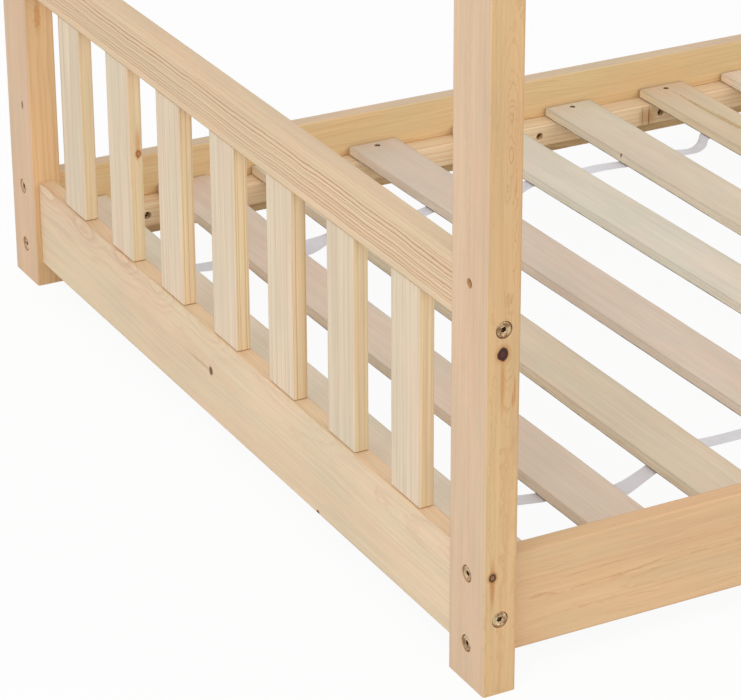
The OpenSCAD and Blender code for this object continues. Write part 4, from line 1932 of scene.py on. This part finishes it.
@dataclass
class Fasteners:
    """The bolts and screws, with their recesses for a key or driver.

    Attributes:
        head_radius: The radius of a bolt's head.
        head_thickness: Its thickness.
        socket: The width of the hexagon socket across its flats.
        shank: The radius of a bolt's shank.
        dish: How far the head's face is dished.
        past_nut: How far a bolt reaches past its barrel nut.
        for_cleats: The screws that hold the cleats to the rails.
        for_slats: The screws that hold the slats to the cleats.
        plating: The bolts' finish.
        shade: The dark finish inside their sockets, which paints the shade there.
        stained: The screws' finish.
    """

    head_radius: float = 0.007
    head_thickness: float = 0.0022
    socket: float = 0.004
    shank: float = 0.003
    dish: float = 0.0004
    past_nut: float = 0.003
    for_cleats: Screw = Screw(0.0038, 0.002, 0.031, 0.006)
    for_slats: Screw = Screw(0.00285, 0.0015, 0.0178, 0.0003)

    plating = MetalFinish()
    shade = MetalFinish(srgb(86, 66, 48), srgb(40, 30, 24), 0.5)
    stained = MetalFinish(srgb(92, 76, 58), srgb(46, 34, 24), 0.45)

    def bolts(self, fixings: list[Fixing]) -> None:
        """Makes every connector bolt as one piece.

        Args:
            fixings: Where the bolts are.
        """
        finish = self.plating.material("zinc_yellow")
        socket = self.shade.material("socket_shade")
        draw = random.Random(3)
        whole = bmesh.new()
        for grip in sorted({round(f.grip, 5) for f in fixings}):
            places = [f.place() for f in fixings if abs(f.grip - grip) < 1e-4]
            stamp(whole, self._bolt(grip, finish), places, draw)
        piece = make_piece("bolts_zinc", whole, finish)
        piece.data.materials.append(socket)
        smooth(piece, 25.0)
        hand_over(piece, "bolt_brass", "connector_bolts")

    def _bolt(self, grip: float, finish: bpy.types.Material) -> bpy.types.Object:
        """Makes one bolt along local X.

        Args:
            grip: The thickness of the post that it passes through.
            finish: Its finish.

        Returns:
            The bolt, which is only a pattern to copy.
        """
        seat = Fixing.recess_depth
        face = seat - self.head_thickness
        end = grip + Fixing.nut_in + Fixing.nut_radius + self.past_nut
        rim, dish = self.head_radius, self.dish
        mesh = bmesh.new()
        turn_profile(
            mesh,
            [
                (face + dish, 0.0),
                (face + dish, rim - 0.0030),
                (face + 0.1 * dish, rim - 0.0024),
                (face, rim - 0.0018),
                (face + 0.0001, rim - 0.0010),
                (face + 0.0004, rim - 0.0004),
                (face + 0.0009, rim),
                (seat, rim),
                (seat, self.shank),
                (end - 0.001, self.shank),
                (end, self.shank - 0.001),
                (end, 0.0),
            ],
            Matrix.Identity(4),
            48,
        )
        piece = make_piece("bolt_pattern", mesh, finish)
        corner = self.socket / math.sqrt(3)
        key = bmesh.new()
        turn_profile(
            key,
            [
                (face - OVERCUT, 0.0),
                (face - OVERCUT, corner + 0.0015 + dish),
                (face + dish + 0.0005, corner),
                (face + 0.0019, corner),
                (face + 0.0022, 0.0),
            ],
            Matrix.Identity(4),
            6,
        )
        drill(piece, key)
        # Faces deep in the socket take the second material, the painted socket shade.
        for side in piece.data.polygons:
            reach = math.hypot(side.center.y, side.center.z)
            side.material_index = int(reach < corner * 0.999 and side.center.x > face + dish + 0.0006)
        return piece

    def screws(self, name: str, node: str, holes: list[Hole], kind: Screw) -> None:
        """Makes a set of countersunk cross-head screws as one piece.

        Args:
            name: The piece's name.
            node: The CAD node that it stands for.
            holes: The holes that they sit in.
            kind: The kind of screw.
        """
        head, shank = kind.head, kind.shank
        finish = self.stained.material("screw_" + name)
        mesh = bmesh.new()
        turn_profile(
            mesh,
            [
                (0.0, 0.0),
                (0.0, head - 0.0002),
                (0.0002, head),
                (0.0004, head),
                (head - shank + 0.0004, shank),
                (kind.length - 2 * shank, shank),
                (kind.length, 0.0),
            ],
            Matrix.Identity(4),
            28,
        )
        one = make_piece(name + "_pattern", mesh, finish)
        drill(one, self._cross(head))
        draw = random.Random(name)
        whole = bmesh.new()
        stamp(whole, one, [hole.place(kind.sunk) for hole in holes], draw)
        piece = make_piece(name, whole, finish)
        smooth(piece, 25.0)
        hand_over(piece, "zinc_steel", node)

    def _cross(self, head: float) -> Mesh:
        """Makes the form of the driver's cross.

        Args:
            head: The radius of the screw's head.

        Returns:
            A closed mesh that tapers into the head.
        """
        arm, half = 0.58 * head, 0.13 * head
        outline = [
            (arm, -half), (arm, half), (half, half), (half, arm), (-half, arm), (-half, half),
            (-arm, half), (-arm, -half), (-half, -half), (-half, -arm), (half, -arm), (half, -half),
        ]
        mesh = bmesh.new()
        levels = [
            [mesh.verts.new((depth, share * a, share * b)) for a, b in outline]
            for depth, share in ((-0.0005, 1.15), (0.55 * head, 0.5))
        ]
        mesh.faces.new(levels[0])
        mesh.faces.new(levels[1])
        for k in range(len(outline)):
            nxt = (k + 1) % len(outline)
            mesh.faces.new((levels[0][k], levels[0][nxt], levels[1][nxt], levels[1][k]))
        return mesh


@dataclass(frozen=True)
class Slack:
    """How the strap lies between two slats.

    Attributes:
        sag: How far it hangs down.
        turned: How far it turns over, in radians.
        drift: How far it strays sideways.
        lean: Where it hangs lowest: past the middle above 1, before it below 1.
        square: How it hangs: in a curve at 1, with a flat bottom below 1.
    """

    sag: float
    turned: float = 0.0
    drift: float = 0.0
    lean: float = 1.0
    square: float = 1.0


@dataclass
class Webbing:
    """One strap under the slats, slack between them.

    Attributes:
        side: The strap's side in the nodes.
        slats: The slats that it runs under.
        laid: How it lies in the gaps where that is given.
        askew: How far it strays under a slat, from the slat's head side on.
        width: Its width.
        thickness: Its thickness.
        sag: The least and most that it hangs between two slats.
        twist: The most that it turns over between two slats, in radians.
        drift: The most that it strays sideways between two slats.
        lean: The least and most lean of its hang between two slats.
        across: How many faces it has across its width.
        steps: How many faces it has along each gap.
        corner: How far from a slat's edge a corner of the CAD node may lie.
    """

    side: str
    slats: list[Slat]
    laid: dict[int, Slack] = field(default_factory=dict)
    askew: dict[int, float] = field(default_factory=dict)
    width: float = 0.0172
    thickness: float = 0.001
    sag: tuple[float, float] = (0.005, 0.011)
    twist: float = 0.9
    drift: float = 0.004
    lean: tuple[float, float] = (0.8, 1.3)

    across = 8
    steps = 20
    corner = 0.002

    def build(self, finish: bpy.types.Material) -> None:
        """Makes the strap.

        Args:
            finish: The webbing's finish.
        """
        mesh = bmesh.new()
        rings = [self._ring(mesh, *spot) for spot in self._route()]
        for one, other in zip(rings, rings[1:]):
            for k in range(len(one)):
                nxt = (k + 1) % len(one)
                mesh.faces.new((one[k], one[nxt], other[nxt], other[k]))
        mesh.faces.new(rings[0])
        mesh.faces.new(rings[-1])
        piece = make_piece(f"strap_{self.side}_webbing", mesh, finish)
        smooth(piece, 50.0)
        hand_over(piece, "webbing", f"strap_{self.side}")

    def _under(self, count: int, slat: Slat, level: float) -> tuple[Vector, Vector]:
        """Finds where the strap comes out from under one slat.

        Args:
            count: The slat's number.
            slat: The slat.
            level: The height of the strap's middle there.

        Returns:
            The strap's places at the slat's two edges.
        """
        cad = [v.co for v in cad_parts[f"strap_{self.side}"].data.vertices]
        left, right = slat.span_at(sum(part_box(f"strap_{self.side}"), Vector()).y / 2)
        own = [s.y for s in cad if left - self.corner < s.x < right + self.corner]
        middle = (min(own) + max(own)) / 2
        left, right = slat.span_at(middle)
        stray = self.askew.get(count, 0.0) / 2
        return Vector((left, middle - stray, level)), Vector((right, middle + stray, level))

    def _route(self) -> list[tuple[Vector, float]]:
        """Follows the strap from slat to slat.

        Returns:
            Places along its middle, each with how far it is turned over there.
        """
        low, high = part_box(f"strap_{self.side}")
        top = high.z - self.thickness / 2
        draw = random.Random("strap " + self.side)
        held = [self._under(count, slat, top) for count, slat in enumerate(self.slats, 1)]
        spots = [(Vector((low.x, held[0][0].y, top)), 0.0)]
        for gap, ((_, left), (right, _)) in enumerate(zip(held, held[1:]), 1):
            slack = Slack(
                draw.uniform(*self.sag), draw.choice((-1, 1)) * draw.uniform(0.1, 1.0) * self.twist,
                draw.uniform(-self.drift, self.drift), draw.uniform(*self.lean),
            )
            slack = self.laid.get(gap, slack)
            for k in range(self.steps + 1):
                share = k / self.steps
                hang = max(0.0, math.sin(math.pi * share**slack.lean)) ** slack.square
                spot = left.lerp(right, share) + Vector((0.0, slack.drift, -slack.sag)) * hang
                spots.append((spot, slack.turned * hang * hang))
        spots.append((Vector((high.x, held[-1][1].y, top)), 0.0))
        return spots

    def _ring(self, mesh: Mesh, spot: Vector, turned: float) -> list[bmesh.types.BMVert]:
        """Adds one section of the strap.

        Args:
            mesh: The strap's mesh.
            spot: The section's middle.
            turned: How far the strap is turned over there, in radians.

        Returns:
            The section's corners, in order.
        """
        half, thick = self.width / 2, self.thickness / 2
        line = [-1.0 + 2.0 * k / self.across for k in range(self.across + 1)]
        outline = [(half * a, thick * (1.0 - 0.6 * a**8)) for a in line]
        outline += [(half * a, -thick * (1.0 - 0.6 * a**8)) for a in reversed(line)]
        turn = Matrix.Rotation(turned, 3, "X")
        return [mesh.verts.new(spot + turn @ Vector((0.0, a, b))) for a, b in outline]


# How the straps lie in the gaps and under the slats that the picture shows, by the slat's number
STRAP_SLACK = {
    "front": {
        1: Slack(0.001),
        2: Slack(0.0135, 0.25, 0.0, 0.6),
        3: Slack(0.0005, -0.05),
    },
    "back": {
        1: Slack(0.002, 0.1),
        2: Slack(0.005, 0.6, 0.0, 0.8),
        3: Slack(0.002, 0.1),
        5: Slack(0.0005, 0.0, 0.004),
        6: Slack(0.0105, -0.1, 0.0, 2.7, 0.45),
    },
}
STRAP_ASKEW = {"front": {3: 0.022}}


@dataclass
class Studio:
    """The camera, the lamps, the pale floor and the white surroundings.

    Attributes:
        eye: Where the camera stands.
        right: The camera's right, in the row frame.
        up: The camera's up.
        lens: Its focal length in millimetres, on a 36 mm sensor.
        shift: How far the picture is shifted sideways, in picture widths.
        sky: The strength of the surroundings' light on the bed.
        floor_glow: How white the floor is for the camera, as a share.
    """

    eye: Vector = field(default_factory=lambda: Vector((-2.1744, -2.47005, 1.38496)))
    right: Vector = field(default_factory=lambda: Vector((0.875284, -0.483583, 0.004983)))
    up: Vector = field(default_factory=lambda: Vector((0.201964, 0.374878, 0.904808)))
    lens: float = 160.61
    shift: float = -0.0938
    sky: float = 0.75
    floor_glow: float = 0.93

    def build(self) -> None:
        """Sets up the studio."""
        self._camera()
        self._surroundings()
        self._floor()
        self._lamp("key", Vector((-3.4, -2.2, 3.4)), Vector((-0.6, 0.0, 0.2)), size=2.6, power=56.0)
        self._lamp("fill", Vector((1.6, -3.6, 2.2)), Vector((-0.3, -0.3, 0.2)), size=3.6, power=44.0)
        bpy.context.scene.view_settings.view_transform = "Standard"

    def _camera(self) -> None:
        """Places the camera at the photograph's viewing angle."""
        data = bpy.data.cameras.new("view")
        data.sensor_width, data.sensor_fit = 36.0, "HORIZONTAL"
        data.lens, data.shift_x = self.lens, self.shift
        camera = bpy.data.objects.new("view", data)
        back = self.right.cross(self.up)
        turned = Matrix((self.right, self.up, back)).transposed().to_4x4()
        camera.matrix_world = Matrix.Translation(self.eye) @ turned
        bpy.context.scene.collection.objects.link(camera)
        bpy.context.scene.camera = camera

    def _seen(self, tree: Tree) -> Socket:
        """Tells the camera's rays from the others, also off gloss and through glass.

        Args:
            tree: The tree that the nodes go into.

        Returns:
            1 for the camera's rays.
        """
        path = tree.node("LightPath")
        seen = tree.math("MAXIMUM", path.outputs["Is Camera Ray"], path.outputs["Is Glossy Ray"])
        return tree.math("MAXIMUM", seen, path.outputs["Is Transmission Ray"])

    def _surroundings(self) -> None:
        """Makes the white surroundings."""
        world = bpy.data.worlds.new("white_room")
        bpy.context.scene.world = world
        world.use_nodes = True
        tree = Tree(world.node_tree)
        sky = world.node_tree.nodes["Background"]
        sky.inputs["Color"].default_value = (1.0, 1.0, 1.0, 1.0)
        seen = self._seen(tree)
        level = tree.plus(self.sky, tree.times(seen, 1.0 - self.sky))
        tree.feed(sky.inputs["Strength"], level)

    def _floor(self) -> None:
        """Lays the pale floor, which keeps a soft shadow of the bed."""
        mesh = bmesh.new()
        bmesh.ops.create_grid(mesh, x_segments=1, y_segments=1, size=20.0)
        finish, tree, matt = new_material("pale_floor")
        matt.inputs["Base Color"].default_value = (0.82, 0.82, 0.82, 1.0)
        matt.inputs["Roughness"].default_value = 0.9
        matt.inputs["Specular IOR Level"].default_value = 0.0
        glow = tree.node("Emission")
        glow.inputs["Strength"].default_value = 1.0
        blend = tree.node("MixShader")
        tree.feed(blend.inputs["Fac"], tree.times(self._seen(tree), self.floor_glow))
        tree.feed(blend.inputs[1], matt.outputs[0])
        tree.feed(blend.inputs[2], glow.outputs[0])
        tree.feed(finish.node_tree.nodes["Material Output"].inputs["Surface"], blend.outputs[0])
        make_piece("floor", mesh, finish)

    def _lamp(self, name: str, place: Vector, aim: Vector, size: float, power: float) -> None:
        """Hangs a soft square lamp.

        Args:
            name: The lamp's name.
            place: Where it hangs.
            aim: Where it points.
            size: Its side.
            power: Its power in watts.
        """
        data = bpy.data.lights.new(name, "AREA")
        data.shape, data.size, data.energy = "SQUARE", size, power
        lamp = bpy.data.objects.new(name, data)
        lamp.location = place
        lamp.rotation_euler = (aim - place).to_track_quat("-Z", "Y").to_euler()
        bpy.context.scene.collection.objects.link(lamp)


def dress_hidden_nodes() -> None:
    """Gives the CAD pieces that stay as they are their finishes."""
    finishes = {
        "barrel_nuts": MetalFinish(srgb(196, 194, 190), srgb(150, 148, 146), 0.34).material("zinc_nut"),
        "strap_staples": MetalFinish(srgb(190, 190, 188), srgb(140, 138, 136), 0.3).material("zinc_staple"),
        "dowels": PineFinish(
            early=srgb(206, 164, 124), late=srgb(180, 134, 96), ring=0.0016, contrast=0.3
        ).material("beech_dowel", Matrix.Identity(4), wide=False),
    }
    for node, finish in finishes.items():
        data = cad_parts[node].data
        data.materials.clear()
        data.materials.append(finish)
        LOG.info("%s: carried over", node)


def write_sizes() -> None:
    """Brings the view layer up to date."""
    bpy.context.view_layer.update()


def main() -> None:
    """Builds the studio and then the bed, one sub-assembly at a time."""
    logging.basicConfig(level=logging.INFO, format="%(name)s %(message)s")
    Studio().build()
    sizes = BedSizes.read()
    fixings = sizes.fixings()
    Posts(sizes).build(fixings)
    BedEnd("head", 1.0).build(fixings)
    BedEnd("foot", 2.0).build(fixings)
    pockets = LongSides().build(fixings)
    base = SlattedBase()
    sinks = base.build()
    RoofFrame(sizes).build(fixings)
    fasteners = Fasteners()
    fasteners.bolts(fixings)
    fasteners.screws("screws_cleat", "cleat_screws", pockets, fasteners.for_cleats)
    fasteners.screws("screws_slat", "slat_screws", sinks, fasteners.for_slats)
    webbing = WebbingFinish().material("webbing_grey")
    for side, laid in STRAP_SLACK.items():
        Webbing(side, base.slats, laid, STRAP_ASKEW.get(side, {})).build(webbing)
    dress_hidden_nodes()
    write_sizes()


if __name__ == "__main__":
    main()
